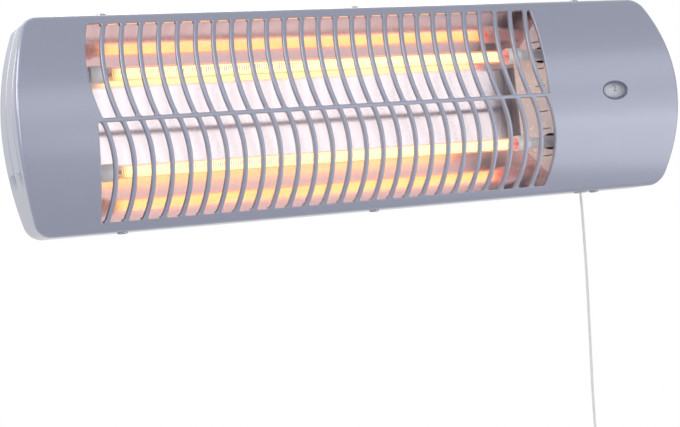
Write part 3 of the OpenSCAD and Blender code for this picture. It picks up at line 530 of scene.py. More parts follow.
def makeCover(c):
    bm = bmesh.new()
    inner = bm.verts.layers.float.new("inner")
    wall, roundOver = c["wall"], c["edgeRound"]
    outline = outlinePath()
    shrunk = lambda inset: [(p.x - n.x * inset, p.y - n.y * inset) for p, n in outline]
    rings = [[(x, z, depth, 0) for x, z in shrunk(inset)] for inset, depth in roundedSteps(roundOver, 5)]
    depths = [(t + k * c["grooveHalf"] / 2, 1 - abs(k) / 2) for t in c["grooves"] for k in (-2, -1, 0, 1, 2)]
    depths += [(c["depth"] - c["rimEase"], 0)]
    for number, (t, share) in enumerate(depths):
        ring = []
        for p, n in outline:
            fade = max(0, min(1, (p.y - c["grooveEnd"]) / c["grooveFade"])) if abs(n.x) > 0.5 else 0
            front = faceDepth(p.y) + roundOver + c["ringGap"] * (number + 1)
            sink = c["grooveSink"] * share * fade if t > front else 0
            ring.append((p.x - n.x * sink, p.y - n.y * sink, max(t, front) - faceDepth(p.y), 0))
        rings.append(ring)
    for inset in (c["rimEase"], wall):
        rings.append([(x, z, c["depth"] - faceDepth(z), 0) for x, z in shrunk(inset)])
    rings.append([(x, z, wall, 1) for x, z in shrunk(wall)])
    made = addRings(bm, rings, innerLayer=inner)
    fronts, backs = [], []
    for path, edge in ((openingPath(False), c["openingRound"]), (openingPath(True), c["openingRound"]),
                       (ovalPath(c["window"], c["windowHalf"]), c["windowRound"])):
        loop = withNormals(path)
        rings = [[(p.x + n.x * inset, p.y + n.y * inset, depth, 0) for p, n in loop]
                 for inset, depth in roundedSteps(edge, 3)]
        rings.append([(p.x, p.y, wall, 1) for p, n in loop])
        around = addRings(bm, rings, innerLayer=inner)
        fronts.append(around[0])
        backs.append(around[-1])
    fillBetween(bm, made[0], fronts)
    fillBetween(bm, made[-1], backs)
    levels = int(c["height"] / 2 / c["level"])
    for k in range(-levels, levels + 1):
        cutAt(bm, (0, 0, k * c["level"]), (0, 0, 1))
    bmesh.ops.remove_doubles(bm, verts=bm.verts[:], dist=1e-5)
    sheet = bm.verts.layers.float.new("sheet")
    for v in bm.verts:
        x, depth, z = v.co
        if v[inner] > 0.99:
            y = faceDepth(z, wall)
        else:
            y = faceDepth(z) + depth
            v[sheet] = 1 if depth < 1e-4 else 0
        v.co = Vector((x, crest + y, z)) * mm
    mesh = finishMesh(bm, 38, inMetres=True)
    radius = c["faceRadius"] * mm
    # The face's own round gives its normals, and a zero leaves them as they are
    onSheet = [point.value > 0.5 for point in mesh.attributes["sheet"].data]
    normals = []
    for corner in mesh.loops:
        z = mesh.vertices[corner.vertex_index].co.z / radius
        normals.append((0, -math.sqrt(1 - z * z), z) if onSheet[corner.vertex_index] else (0, 0, 0))
    mesh.normals_split_custom_set(normals)
    for name in ("inner", "sheet"):
        mesh.attributes.remove(mesh.attributes[name])
    addPiece(mesh, "front_cover")


makeCover(coverSettings)
print("cover made")


# A tree of geometry nodes. Its sizes, and what else it is given, are named inputs
class NodeTree:
    kinds = {float: "Float", int: "Int", tuple: "Vector", bpy.types.Material: "Material",
             bpy.types.Object: "Object"}

    def __init__(self, name, finish, sizes, **others):
        self.values = {**{key: float(size) for key, size in sizes.items()}, **others, "finish": finish}
        self.tree = bpy.data.node_groups.new(name, "GeometryNodeTree")
        face = self.tree.interface
        for way in ("INPUT", "OUTPUT"):
            face.new_socket("Geometry", in_out=way, socket_type="NodeSocketGeometry")
        for key, value in self.values.items():
            face.new_socket(key, in_out="INPUT", socket_type="NodeSocket" + self.kinds[type(value)])
        self.given = self.tree.nodes.new("NodeGroupInput").outputs

    def add(self, kind, inputs=None, out=0, **settings):
        return addNode(self.tree, kind, inputs, **settings).outputs[out]

    def math(self, operation, *values):
        return addMath(self.tree, operation, *values)

    def vector(self, *parts):
        return self.add("ShaderNodeCombineXYZ", dict(enumerate(parts)))

    def tube(self, curve, radius, sides):
        ring = self.add("GeometryNodeCurvePrimitiveCircle", {"Resolution": sides, "Radius": radius})
        sweep = {"Curve": curve, "Profile Curve": ring, "Fill Caps": True}
        return self.add("GeometryNodeCurveToMesh", sweep)

    # Ends the tree in metres, real faces and the finish, and gives the plain mesh that it makes of a mesh
    def run(self, geometry, mesh):
        scaled = self.add("GeometryNodeTransform", {"Geometry": geometry, "Scale": (mm, mm, mm)})
        real = self.add("GeometryNodeRealizeInstances", {"Geometry": scaled})
        painted = self.add("GeometryNodeSetMaterial", {"Geometry": real, "Material": self.given["finish"]})
        addNode(self.tree, "NodeGroupOutput", {0: painted})
        carrier = newObject(self.tree.name, mesh)
        modifier = carrier.modifiers.new(self.tree.name, "NODES")
        modifier.node_group = self.tree
        for item in self.tree.interface.items_tree:
            if item.item_type == "SOCKET" and item.in_out == "INPUT" and item.name in self.values:
                modifier[item.identifier] = self.values[item.name]
        bm = bmesh.new()
        bm.from_mesh(bakedMesh(carrier))
        return finishMesh(bm, 38, inMetres=True)


# The slats: one template that the tree bends, widens at its ends and repeats in two rows. Its height runs
# from 0 to 1
def slatTemplate(g, c):
    profile = [(-1, 0, c["wall"] + g["behind"])]
    for k in range(g["ring"] + 1):
        a = math.pi / 2 * k / g["ring"]
        profile.append((-1, g["slatRound"] * (1 - math.cos(a)), g["slatRound"] * (1 - math.sin(a))))
    profile += [(1, -offset, depth) for side, offset, depth in reversed(profile)]
    rings = g["along"] + 1
    shares = [0.5 - 0.5 * math.cos(math.pi * i / g["along"]) for i in range(rings)]
    points = [(offset, depth, share) for share in shares for side, offset, depth in profile]
    mesh = meshFrom("slatTemplate", points, tubeFaces(rings, len(profile)))
    sides = mesh.attributes.new("side", "FLOAT", "POINT")
    sides.data.foreach_set("value", [side for side, offset, depth in profile] * rings)
    return mesh


def makeGrille(g, c, v):
    known = {**c, **g, **v, "crest": crest}
    sizes = {key: known[key] for key in (
        "first", "pitch", "low", "high", "mid", "bow", "radius", "slatWidth", "fillet", "sink", "faceRadius",
        "middle", "crest")}
    tree = NodeTree("grilleSlats", finishes["cover_grey"], sizes, slats=g["slats"])
    m, given = tree.math, tree.given
    add = lambda a, b: m("ADD", a, b)
    subtract = lambda a, b: m("SUBTRACT", a, b)
    times = lambda a, b: m("MULTIPLY", a, b)
    rootOf = lambda a, b: m("SQRT", subtract(times(a, a), times(b, b)))
    offset, depth, share = splitVector(tree.tree, tree.add("GeometryNodeInputPosition"))
    side = tree.add("GeometryNodeInputNamedAttribute", {"Name": "side"}, data_type="FLOAT")
    low = subtract(given["low"], given["sink"])
    high = add(given["high"], given["sink"])
    z = m("MULTIPLY_ADD", subtract(high, low), share, low)
    toEnd = m("MINIMUM", subtract(z, given["low"]), subtract(given["high"], z))
    short = m("MINIMUM", m("MAXIMUM", subtract(given["fillet"], toEnd), 0.0), given["fillet"])
    flare = subtract(given["fillet"], rootOf(given["fillet"], short))
    root = rootOf(given["radius"], subtract(z, given["mid"]))
    half = m("DIVIDE", times(times(given["slatWidth"], 0.5), given["radius"]), root)
    centre = subtract(subtract(given["radius"], root), given["bow"])
    x = add(m("MULTIPLY_ADD", side, add(half, flare), offset), centre)
    sunk = subtract(1.0, m("DIVIDE", depth, given["faceRadius"]))
    y = subtract(given["faceRadius"], times(sunk, rootOf(given["faceRadius"], z)))
    bent = tree.vector(x, y, times(z, sunk))
    slat = tree.add("GeometryNodeSetPosition", {"Geometry": given["Geometry"], "Position": bent})
    line = tree.add("GeometryNodeMeshLine", {
        "Count": given["slats"], "Start Location": tree.vector(given["first"]),
        "Offset": tree.vector(given["pitch"])})
    row = tree.add("GeometryNodeInstanceOnPoints", {"Points": line, "Instance": slat})
    turned = tree.add("GeometryNodeTransform", {"Geometry": row, "Rotation": (0, math.pi, 0)})
    both = addNode(tree.tree, "GeometryNodeJoinGeometry", {0: row})
    feed(tree.tree, both, {0: turned})
    placed = tree.add("GeometryNodeTransform", {
        "Geometry": both.outputs[0], "Translation": tree.vector(given["middle"], given["crest"])})
    addPiece(tree.run(placed, slatTemplate(g, c)), "front_cover", "grilleSlats", takesPlace=False)


makeGrille(grilleSettings, coverSettings, rows)
print("grille made")

# The reflector: one bright sheet with rounded bends, polished lengthwise, and an end plate at each end of it
reflectorSettings = {
    "middle": -35.5, "sheet": 0.6, "mouth": (20.46, 68.4), "lip": (20.97, 68.0), "corner": (46.0, 34.9),
    "lipBend": 0.2, "cornerBend": 1.2, "backHalf": 178.5, "mouthHalf": 193.5, "flange": 3.0, "columns": 24,
    "tubeDepth": 24.0, "tubeHeight": 33.9, "boreRadius": 6.35, "slots": (10, 23.5, 44.5),
    "slotDepths": (23.5, 31), "slotWidth": 0.7, "backRise": 0.4, "bend": 1.0,
    # The warm colour, and the heights where it sets in, are a painted reflection of the tubes' glow on the
    # sloped sides
    "color": "#F4E8EC", "warmColor": "#F4D2D2", "warmFrom": (33, 39), "roughness": 0.17, "anisotropy": 0.92,
}


# Aluminium that blurs what it mirrors along the "along" map's U, as a rolled and polished sheet does. Its
# sloped sides are tinted warmer than the back, a painted reflection of the tubes' glow
def polishedMaterial(s):
    material = makeFinish("polishedAluminium", s["color"], s["roughness"], metallic=1, mottle=0.03,
                          mottleScale=25, grain=0.03, grainScale=900, stretch=(1, 0.05, 0.05),
                          bumpDepth=0.001)
    tree = material.node_tree
    shader = tree.nodes["Principled BSDF"]
    height = addMath(tree, "ABSOLUTE", splitVector(tree, objectPlace(tree))["Z"])
    # Painted reflection: the sloped sides take a warm tint that stands in for the glow they mirror
    paintedGlow = addRange(tree, height, 0, 1, *(z * mm for z in s["warmFrom"]))
    clean = shader.inputs["Base Color"].links[0].from_socket
    along = addNode(tree, "ShaderNodeTangent", direction_type="UV_MAP", uv_map="along").outputs["Tangent"]
    feed(tree, shader, {"Base Color": addMix(tree, paintedGlow, clean, linear(s["warmColor"]) + [1]),
                        "Anisotropic": s["anisotropy"], "Tangent": along})
    return material


finishes["reflector_bright"] = polishedMaterial(reflectorSettings)


def sheetLine(s):
    (t0, z0), (t1, z1), (t2, z2) = s["mouth"], s["lip"], s["corner"]
    upper = [(t0, z0, 0), (t1, z1, s["lipBend"]), (t2, z2, s["cornerBend"])]
    lower = [(t, -z, bend) for t, z, bend in reversed(upper)]
    return roundedLine(upper + lower, False, 6)


# The other side of a bent sheet, away from its line
def offsetLine(line, thickness):
    result = []
    for i, p in enumerate(line):
        along = (line[min(i + 1, len(line) - 1)] - line[max(i - 1, 0)]).normalized()
        result.append(p + Vector((-along.y, along.x)) * thickness)
    return result


def plateX(s, t):
    back = s["corner"][0] + s["sheet"]
    return s["backHalf"] + (s["mouthHalf"] - s["backHalf"]) * (back - t) / (back - s["mouth"][0])


def makeReflector(s):
    inside = sheetLine(s)
    outside = offsetLine(inside, s["sheet"])
    if outside[len(outside) // 2].x < inside[len(inside) // 2].x:
        outside = offsetLine(inside, -s["sheet"])
    profile = inside + outside[::-1]
    travelled = [0]
    for a, b in zip(profile, profile[1:]):
        travelled.append(travelled[-1] + (b - a).length)
    bm = bmesh.new()
    uv = bm.loops.layers.uv.new("along")
    rings = []
    for k in range(s["columns"] + 1):
        share = 2 * k / s["columns"] - 1
        places = [(s["middle"] + share * plateX(s, p.x), crest + p.x, p.y) for p in profile]
        rings.append([bm.verts.new(place) for place in places])
    count = len(profile)
    for a, b in zip(rings, rings[1:]):
        for i in range(count):
            k = (i + 1) % count
            face = bm.faces.new((a[i], a[k], b[k], b[i]))
            heights = (travelled[i], travelled[i] if k == 0 else travelled[k])
            for corner, height in zip(face.loops, (heights[0], heights[1], heights[1], heights[0])):
                corner[uv].uv = (corner.vert.co.x * mm, height * mm)
    half = len(inside)
    for ring in (rings[0], rings[-1]):
        for i in range(half - 1):
            bm.faces.new((ring[i], ring[i + 1], ring[count - 2 - i], ring[count - 1 - i]))
    addPiece(finishMesh(bm, 12), "reflector", "reflectorSheet")


makeReflector(reflectorSettings)


# An end plate is drawn flat, along the sheet and up, with its slots, and then bent
def makeEndPlate(s, name, side, node):
    back, mouth = s["corner"][0] + s["sheet"], s["mouth"][0]
    slope = math.hypot(back - mouth, s["mouthHalf"] - s["backHalf"]) / (back - mouth)
    alongOf = lambda t: (back - t) * slope
    bendAt, end = alongOf(mouth), alongOf(mouth) + s["flange"]
    tubeAt, tubeZ, bore = alongOf(s["tubeDepth"]), s["tubeHeight"], s["boreRadius"]
    notchHalf = math.sqrt(bore ** 2 - (s["tubeDepth"] - mouth) ** 2)
    start = math.acos((bendAt - tubeAt) / (bore * slope))
    notch = [(end, notchHalf)]
    for k in range(25):
        a = start + (math.tau - 2 * start) * k / 24
        notch.append((tubeAt + bore * slope * math.cos(a), bore * math.sin(a)))
    notch.append((end, -notchHalf))
    half = [(end, s["mouth"][1] + s["sheet"]), (bendAt, s["mouth"][1] + s["sheet"]),
            (alongOf(s["lip"][0]), s["lip"][1] + s["sheet"]), (0, s["corner"][1] + s["backRise"])]
    outline = [(u, -z) for u, z in half[::-1]] + [(u, -tubeZ - z) for u, z in notch]
    outline += [(u, tubeZ - z) for u, z in notch] + half
    loops = [[Vector(p) for p in outline]]
    a, b = (alongOf(t) for t in s["slotDepths"])
    w = s["slotWidth"] / 2
    for z in s["slots"]:
        for slot in (z, -z):
            loops.append([Vector(p) for p in ((b, slot - w), (a, slot - w), (a, slot + w), (b, slot + w))])
    bm = bmesh.new()
    faces = (0, s["sheet"])
    sides = [addRings(bm, [[(p.x, p.y, depth, 0) for p in loop] for depth in faces]) for loop in loops]
    for k in (0, 1):
        fillBetween(bm, sides[0][k], [ring[k] for ring in sides[1:]])
    for k in range(-2, 3):
        cutAt(bm, (bendAt + k * s["bend"] / 2, 0, 0), (1, 0, 0))
    lean = math.asin((s["mouthHalf"] - s["backHalf"]) / bendAt)
    for v in bm.verts:
        u, depth, z = v.co
        past = u - bendAt
        if abs(past) < s["bend"]:      # an arc, a little inside the corner
            past = (past + s["bend"]) ** 2 / (4 * s["bend"])
            turn = (u - bendAt + s["bend"]) / (2 * s["bend"])
        else:
            past, turn = max(past, 0), 1 if past > 0 else 0
        on = u - past
        angle = lean + (math.pi / 2 - lean) * turn
        x = s["backHalf"] + on * math.sin(lean) + past + depth * math.cos(angle)
        t = back - on * math.cos(lean) + depth * math.sin(angle)
        v.co = Vector((s["middle"] + side * x, crest + t, z))
    addPiece(finishMesh(bm, 30), node, name, finishes["endPlate"])


finishes["endPlate"] = makeFinish("brightPlate", "#FCF2F4", 0.25, metallic=0.2, mottle=0.04, mottleScale=40,
                                  grain=0.1, grainScale=300, bumpDepth=0.02)
makeEndPlate(reflectorSettings, "endPlateRight", 1, "reflector_end_right")
makeEndPlate(reflectorSettings, "endPlateLeft", -1, "reflector_end_left")
print("reflector made")


# Turns an outline about an axis. Its points are a radius, a distance along the axis and a corner's radius;
# an open outline starts and ends on the axis
def addTurned(bm, outline, closed, place, way, segments=48, steps=4):
    forward = Vector(way).normalized()
    side = forward.orthogonal().normalized()
    other = forward.cross(side)
    centre = Vector(place)
    rings = []
    for radius, along in roundedLine(outline, closed, steps):
        base = centre + forward * along
        if radius < 1e-6:
            rings.append([bm.verts.new(base)])
            continue
        ring = []
        for k in range(segments):
            a = math.tau * k / segments
            ring.append(bm.verts.new(base + radius * (side * math.cos(a) + other * math.sin(a))))
        rings.append(ring)
    for a, b in zip(rings, rings[1:] + (rings[:1] if closed else [])):
        for k in range(segments):
            m = (k + 1) % segments
            corners = [a[k % len(a)], a[m % len(a)], b[m % len(b)], b[k % len(b)]]
            unique = [v for i, v in enumerate(corners) if v not in corners[:i]]
            if len(unique) > 2:
                bm.faces.new(unique)


def turnedPiece(node, outline, closed, place, way, segments=48, name=None):
    bm = bmesh.new()
    addTurned(bm, outline, closed, place, way, segments)
    addPiece(finishMesh(bm), node, name)


# The tubes, their caps and pins, and the coil that glows in each of them
tubeSettings = {
    "left": -200.7, "right": 129.7, "radius": 5, "wall": 0.8, "rounds": (0.2, 0.3), "y": -99, "height": 33.9,
    "strength": 1.0, "coilPitch": 1.7, "ripple": (0.9, 1.05), "patches": (0.86, 1.12), "patchScale": 75,
    "base": (0.42, 0.34, 0.32, 1), "roughness": 0.2,
    "ends": [(-195, 0.02, 0.3), (-193.2, 0.05, 0.2), (-191.5, 0.1, 0.35), (-189.5, 0.45, 0.75),
             (-184, 1.0, 1.0), (119, 1.0, 1.0), (122.5, 0.8, 1.0), (124, 0.5, 1.2)],
    # wireGlow: the paler cream at the front is a painted highlight
    "wireGlow": [(-0.6, (1.8, 2.05, 1.25)), (-0.3, (1.9, 2.2, 0.5)), (1, (1.9, 2.2, 0.5))],
    "quartzGlow": [(-1, (1.1, 0.24, 0.17)), (1, (1.3, 0.24, 0.2))], "quartzAlpha": 0.25,
}
capSettings = {
    "left": -195, "right": 124, "length": 39.7, "head": 12, "radius": 6.2, "neck": 4.5, "socket": 5.15,
    "socketDepth": 6, "pinBore": 1.25, "edgeRound": 0.3, "rimRound": 1.0, "headRound": 1.6, "neckRound": 0.6,
    "pinRadius": 1.1, "pinOut": 4, "pinRounds": (0.3, 0.6), "coilEnd": 5,
}
coilSettings = {"start": -190, "length": 309, "radius": 3.8, "wire": 0.7, "sides": 6}
levels = {"upper": 1, "lower": -1}


# The glow fades and reddens towards the caps, differs from front to back, where the paler front is a painted
# highlight, and shows the coil's turns
def makeGlow(name, s, glow, alpha):
    material, tree, shader = newMaterial(name)
    place = objectPlace(tree)
    x, y = splitVector(tree, place)[:2]
    low, high = s["ends"][0][0], s["ends"][-1][0]
    stops = [((where - low) / (high - low), (level, level * pale, level * pale ** 2))
             for where, level, pale in s["ends"]]
    along = addRamp(tree, addRange(tree, x, 0, 1, low * mm, high * mm), stops)
    back = addRange(tree, y, 0, 1, (s["y"] - s["radius"]) * mm, (s["y"] + s["radius"]) * mm)
    around = addRamp(tree, back, [((where + 1) / 2, color) for where, color in s[glow]])
    wave = addMath(tree, "SINE", addMath(tree, "MULTIPLY", x, math.tau / (s["coilPitch"] * mm)))
    ripple = addRange(tree, wave, *s["ripple"], -1, 1)
    patchy = addRange(tree, addNoise(tree, place, s["patchScale"]), *s["patches"])
    tint = addNode(tree, "ShaderNodeVectorMath", {0: along, 1: around}, operation="MULTIPLY").outputs[0]
    level = {0: tint, "Scale": addMath(tree, "MULTIPLY", ripple, patchy)}
    feed(tree, shader, {
        "Emission Color": addNode(tree, "ShaderNodeVectorMath", level, operation="SCALE").outputs[0],
        "Emission Strength": s["strength"], "Base Color": s["base"], "Roughness": s["roughness"],
        "Alpha": alpha,
    })
    return material


finishes["quartz"] = makeGlow("milkyQuartz", tubeSettings, "quartzGlow", tubeSettings["quartzAlpha"])
finishes["resistance_wire"] = makeGlow("glowingWire", tubeSettings, "wireGlow", 1)


def makeTubes(t, c):
    outer, inner, length = t["radius"], t["radius"] - t["wall"], t["right"] - t["left"]
    boreRound, skinRound = t["rounds"]
    tube = [(inner, 0, boreRound), (outer, 0, skinRound), (outer, length, skinRound),
            (inner, length, boreRound)]
    cap = [
        (c["socket"], 0, c["edgeRound"]), (c["radius"], 0, c["rimRound"]),
        (c["radius"], c["head"], c["headRound"]), (c["neck"], c["head"], c["neckRound"]),
        (c["neck"], c["length"], c["neckRound"]),
        (c["pinBore"], c["length"], c["edgeRound"]), (c["pinBore"], c["socketDepth"], 0),
        (c["socket"], c["socketDepth"], 0),
    ]
    pinLength = c["coilEnd"] + c["length"] + c["pinOut"]
    tipRound, endRound = c["pinRounds"]
    pin = [(0, 0, 0), (c["pinRadius"], 0, tipRound), (c["pinRadius"], pinLength, endRound),
           (0, pinLength, 0)]
    pins = bmesh.new()
    for level, up in levels.items():
        height = up * t["height"]
        turnedPiece("quartz_tube_" + level, tube, True, (t["left"], t["y"], height), (1, 0, 0))
        for where, way in (("left", -1), ("right", 1)):
            turnedPiece(f"ceramic_cap_{level}_{where}", cap, True, (c[where], t["y"], height), (way, 0, 0))
            addTurned(pins, pin, False, (c[where] - way * c["coilEnd"], t["y"], height), (way, 0, 0), 24)
    addPiece(finishMesh(pins), "terminal_pins")


makeTubes(tubeSettings, capSettings)


# A wound wire along X
def makeCoil(node, start, length, radius, wire, turns, sides):
    sizes = {"turns": turns, "radius": radius - wire / 2, "wire": wire / 2, "length": length}
    tree = NodeTree(camelName(node), finishes[slotOf[node]], sizes, sides=sides, start=start)
    given = tree.given
    spiral = tree.add("GeometryNodeCurveSpiral", {
        "Resolution": 14, "Rotations": given["turns"], "Start Radius": given["radius"],
        "End Radius": given["radius"], "Height": given["length"]})
    placed = tree.add("GeometryNodeTransform", {
        "Geometry": tree.tube(spiral, given["wire"], given["sides"]), "Rotation": (0, math.pi / 2, 0),
        "Translation": given["start"]})
    addPiece(tree.run(placed, bpy.data.meshes.new(node)), node)


def makeCoils(s, t):
    for level, up in levels.items():
        start = (s["start"] + s["wire"] / 2, t["y"], up * t["height"])
        makeCoil("heating_coil_" + level, start, s["length"] - s["wire"], s["radius"], s["wire"],
                 s["length"] / t["coilPitch"], s["sides"])


makeCoils(coilSettings, tubeSettings)
springSettings = {
    "start": (182.2, -82.0, -22), "length": 1.1, "radius": 3.4, "wire": 0.8, "turns": 1.5, "sides": 10,
}
makeCoil("lever_spring", **springSettings)
print("tubes and coils made")

# The window: a rim painted dark grey for the shade in the gap round the lens, a domed lens and the drum
# behind it with its numbers. The lens' edge steps are a growth and a depth
windowSettings = {
    "center": (204.5, 0.5), "half": (9.9, 5.8), "rimOut": 1.4, "rimIn": 0.3, "rimFront": 0.35,
    "rimBack": 2.0, "rimRounds": (0.2, 0.3, 0.45, 0.2),
    "lensFront": 1.2, "lensBack": 4.2, "dome": 0.7, "flange": 1.5, "flangeFront": 3.2,
    "lensEdge": [(-0.25, -0.03), (-0.05, 0.1), (0, 0.35)], "drumAxis": (188, 19, 0.5), "drumRadius": 13,
    "drum": [(0, 0, 0), (2, 0, 0.4), (2, 8, 0.3), (13, 8, 0.6), (13, 31, 0.6), (11, 31, 0.4), (11, 10, 1),
             (0, 10, 0)],
    "numberX": 208.1, "numberSize": 7.4, "numberHeight": 0.06, "numberWeight": 0.12,
    "numberColor": "#A8243C", "numbers": (("2", 13), ("0", 133), ("1", 253)),
}


def makeWindow(s):
    oval = lambda share, grow, depth: [(p.x, p.y, crest + depth, 0) for p in
                                       ovalPath(s["center"], [half * share + grow for half in s["half"]])]
    corners = [(s[across], s[depth]) for across, depth in (
        ("rimIn", "rimBack"), ("rimIn", "rimFront"), ("rimOut", "rimFront"), ("rimOut", "rimBack"))]
    rim = [(*corner, radius) for corner, radius in zip(corners, s["rimRounds"])]
    bm = bmesh.new()
    addRings(bm, [oval(1, p.x, p.y) for p in roundedLine(rim, True)], closed=True)
    addPiece(finishMesh(bm), "lens_bezel", "windowRim")
    front, back = s["lensFront"], s["lensBack"]
    rings = [oval(k / 10, 0, front - s["dome"] * (1 - (k / 10) ** 2)) for k in range(10)]
    rings += [oval(1, grow, front + step) for grow, step in s["lensEdge"]]
    flange = ((0, s["flangeFront"]), (s["flange"], s["flangeFront"]), (s["flange"], back))
    rings += [oval(1, grow, depth) for grow, depth in flange]
    rings += [oval(k / 4, 0, back) for k in (4, 3, 2, 1, 0)]
    bm = bmesh.new()
    addRings(bm, rings)
    addPiece(finishMesh(bm), "lens", "windowLens")
    x, t, z = s["drumAxis"]
    turnedPiece("indicator_drum", s["drum"], False, (x, crest + t, z), (1, 0, 0), 96, "numberDrum")


# Numbers drawn flat, bent on the drum's round and joined into one piece
def makeNumbers(s):
    bm = bmesh.new()
    axisT, axisZ = s["drumAxis"][1:]
    for number, turn in s["numbers"]:
        text = bpy.data.curves.new("number" + number, "FONT")
        text.body, text.size = number, s["numberSize"]
        text.extrude, text.offset, text.resolution_u = s["numberHeight"], s["numberWeight"], 6
        text.align_x = text.align_y = "CENTER"
        flat = bakedMesh(newObject(text.name, text))
        part = bmesh.new()
        part.from_mesh(flat)
        bmesh.ops.remove_doubles(part, verts=part.verts[:], dist=1e-5)
        bmesh.ops.triangulate(part, faces=part.faces[:])
        bmesh.ops.subdivide_edges(part, edges=part.edges[:], cuts=3)
        centre = sum((v.co for v in part.verts), Vector()) / len(part.verts)
        for v in part.verts:
            radius = s["drumRadius"] + v.co.z
            a = math.radians(turn) + (v.co.y - centre.y) / s["drumRadius"]
            v.co = Vector((s["numberX"] + v.co.x - centre.x, crest + axisT - radius * math.cos(a),
                           axisZ + radius * math.sin(a)))
        part.to_mesh(flat)
        part.free()
        bm.from_mesh(flat)
    ink = makeFinish("redInk", s["numberColor"], 0.5, grain=0.1)
    addPiece(finishMesh(bm, 30), "indicator_drum", "drumNumbers", ink, takesPlace=False)


makeWindow(windowSettings)
makeNumbers(windowSettings)
print("window made")

# Turned pieces of the cord: its bush, and its inner end with the bead
endSettings = {
    "x": 180, "y": -96.004, "bushZ": -75, "linkZ": -77,
    "bush": [(1.6, -1, 0.6), (5, -1, 0.45), (5, 0, 0.1), (3.3, 0, 0), (3.3, 4.8, 0.4), (1.6, 4.8, 0.4)],
    "link": [(0, -1, 0), (0.7, -0.7, 0.3), (1, 0, 0.3), (1, 57.9, 0.3), (2.1, 58.9, 1), (2.5, 60.3, 1),
             (1.6, 62.3, 1), (0, 62.8, 0)],
}
finishes["cord_white"] = makeFinish("cordYarn", cordSettings["color"], 0.8, mottle=0.12, mottleScale=900,
                                    grain=0.6, grainScale=2400, bumpDepth=0.15)


def makeCordEnds(s):
    turnedPiece("cord_bush", s["bush"], True, (s["x"], s["y"], s["bushZ"]), (0, 0, 1))
    turnedPiece("pull_link", s["link"], False, (s["x"], s["y"], s["linkZ"]), (0, 0, 1), 24, "cordInnerEnd")


makeCordEnds(endSettings)

# Screws with a cross in the head. A tree puts one template at each place, head along the way given
screwSettings = {
    "case": {"head": 7.4, "height": 1.5, "shank": 3.8, "length": 6, "cross": 0.3,
             "places": [((x, -95.7, up * 75), (0, 0, up)) for x in (-192.6, 0, 192.6) for up in (1, -1)]},
    "inner": {"head": 5.4, "height": 1.8, "shank": 3, "length": 6, "cross": 0.3, "places": (
        [((-35.5 + side * 191.6, -54.7, up * 34), (0, -1, 0)) for side in (1, -1) for up in (1, -1)]
        + [((189.5, -54.7, z), (0, -1, 0)) for z in (17.5, -35.5)]
        + [((230, -55.5, z), (0, -1, 0)) for z in (20, -20)])},
    "swivel": {"head": 7.0, "height": 2.4, "shank": 4, "length": 8, "cross": 0.3,
               "places": [((x, -45, z), (0, 1, 0)) for x in (-55, 55) for z in (-15, 15)]},
}


# Shares of the head's half width and height: the head's own rings, the cross's arms and its steps down
screwForm = {
    "sides": 40, "point": 0.8, "arm": 0.56, "cross": [(1, 0.98), (0.93, 0.9), (0.8, 0.3)],
    "dome": [(0.96, 0), (1, 0.12), (1, 0.4), (0.97, 0.62), (0.9, 0.8), (0.8, 0.9), (0.66, 0.96)],
}


# One screw with its head up, from z = 0: a domed head with a cross sunk in it, over a plain shank
def screwTemplate(s, form):
    head, shank, length, height = s["head"] / 2, s["shank"] / 2, s["length"], s["height"]
    arm, half = head * form["arm"], head * s["cross"] / 2
    turns = [math.tau * k / form["sides"] for k in range(form["sides"])]
    circle = [(math.cos(a), math.sin(a)) for a in turns]
    rings = [(0, -length), (shank / 2, -length), (shank, form["point"] - length), (shank, 0)]
    rings += [(head * share, height * up) for share, up in form["dome"]]
    bm = bmesh.new()
    made = addRings(bm, [[(radius * x, radius * y, -z, 0) for x, y in circle] for radius, z in rings])
    corners = [(arm, half), (half, half), (half, arm), (-half, arm), (-half, half), (-arm, half)]
    corners += [(-x, -z) for x, z in corners]
    cross = addRings(bm, [[(x * share, z * share, -height * up, 0) for x, z in corners]
                          for share, up in form["cross"]])
    fillBetween(bm, made[-1], [cross[0]])
    fillBetween(bm, cross[-1], [])
    bmesh.ops.remove_doubles(bm, verts=bm.verts[:], dist=1e-4)
    bmesh.ops.rotate(bm, matrix=Matrix.Rotation(-math.pi / 2, 3, "X"), verts=bm.verts[:])
    bmesh.ops.recalc_face_normals(bm, faces=bm.faces[:])
    return newObject("screwTemplate", closedMesh(bm, "screwTemplate"))


def makeScrews(node, s):
    template = screwTemplate(s, screwForm)
    tree = NodeTree(camelName(node), finishes["screw_steel"], {}, template=template, seed=7)
    shape = tree.add("GeometryNodeObjectInfo", {"Object": tree.given["template"]}, "Geometry")
    way = tree.add("GeometryNodeInputNamedAttribute", {"Name": "way"}, data_type="FLOAT_VECTOR")
    upright = tree.add("FunctionNodeAlignRotationToVector", {"Vector": way}, axis="Z")
    chance = tree.add("FunctionNodeRandomValue", {"Seed": tree.given["seed"]}, 1, data_type="FLOAT")
    angle = tree.math("MULTIPLY", chance, math.pi)
    about = tree.add("FunctionNodeAxisAngleToRotation", {"Axis": (0, 0, 1), "Angle": angle})
    turned = tree.add("FunctionNodeRotateRotation", {"Rotation": upright, "Rotate By": about},
                      rotation_space="LOCAL")
    placed = tree.add("GeometryNodeInstanceOnPoints", {"Points": tree.given["Geometry"], "Instance": shape,
                                                       "Rotation": turned})
    points = meshFrom(node, [place for place, way in s["places"]], [])
    ways = points.attributes.new("way", "FLOAT_VECTOR", "POINT")
    ways.data.foreach_set("vector", [c for place, way in s["places"] for c in way])
    addPiece(tree.run(placed, points), node)
    bpy.data.objects.remove(template)


for kind, settings in screwSettings.items():
    makeScrews(kind + "_screws", settings)
print("screws made")

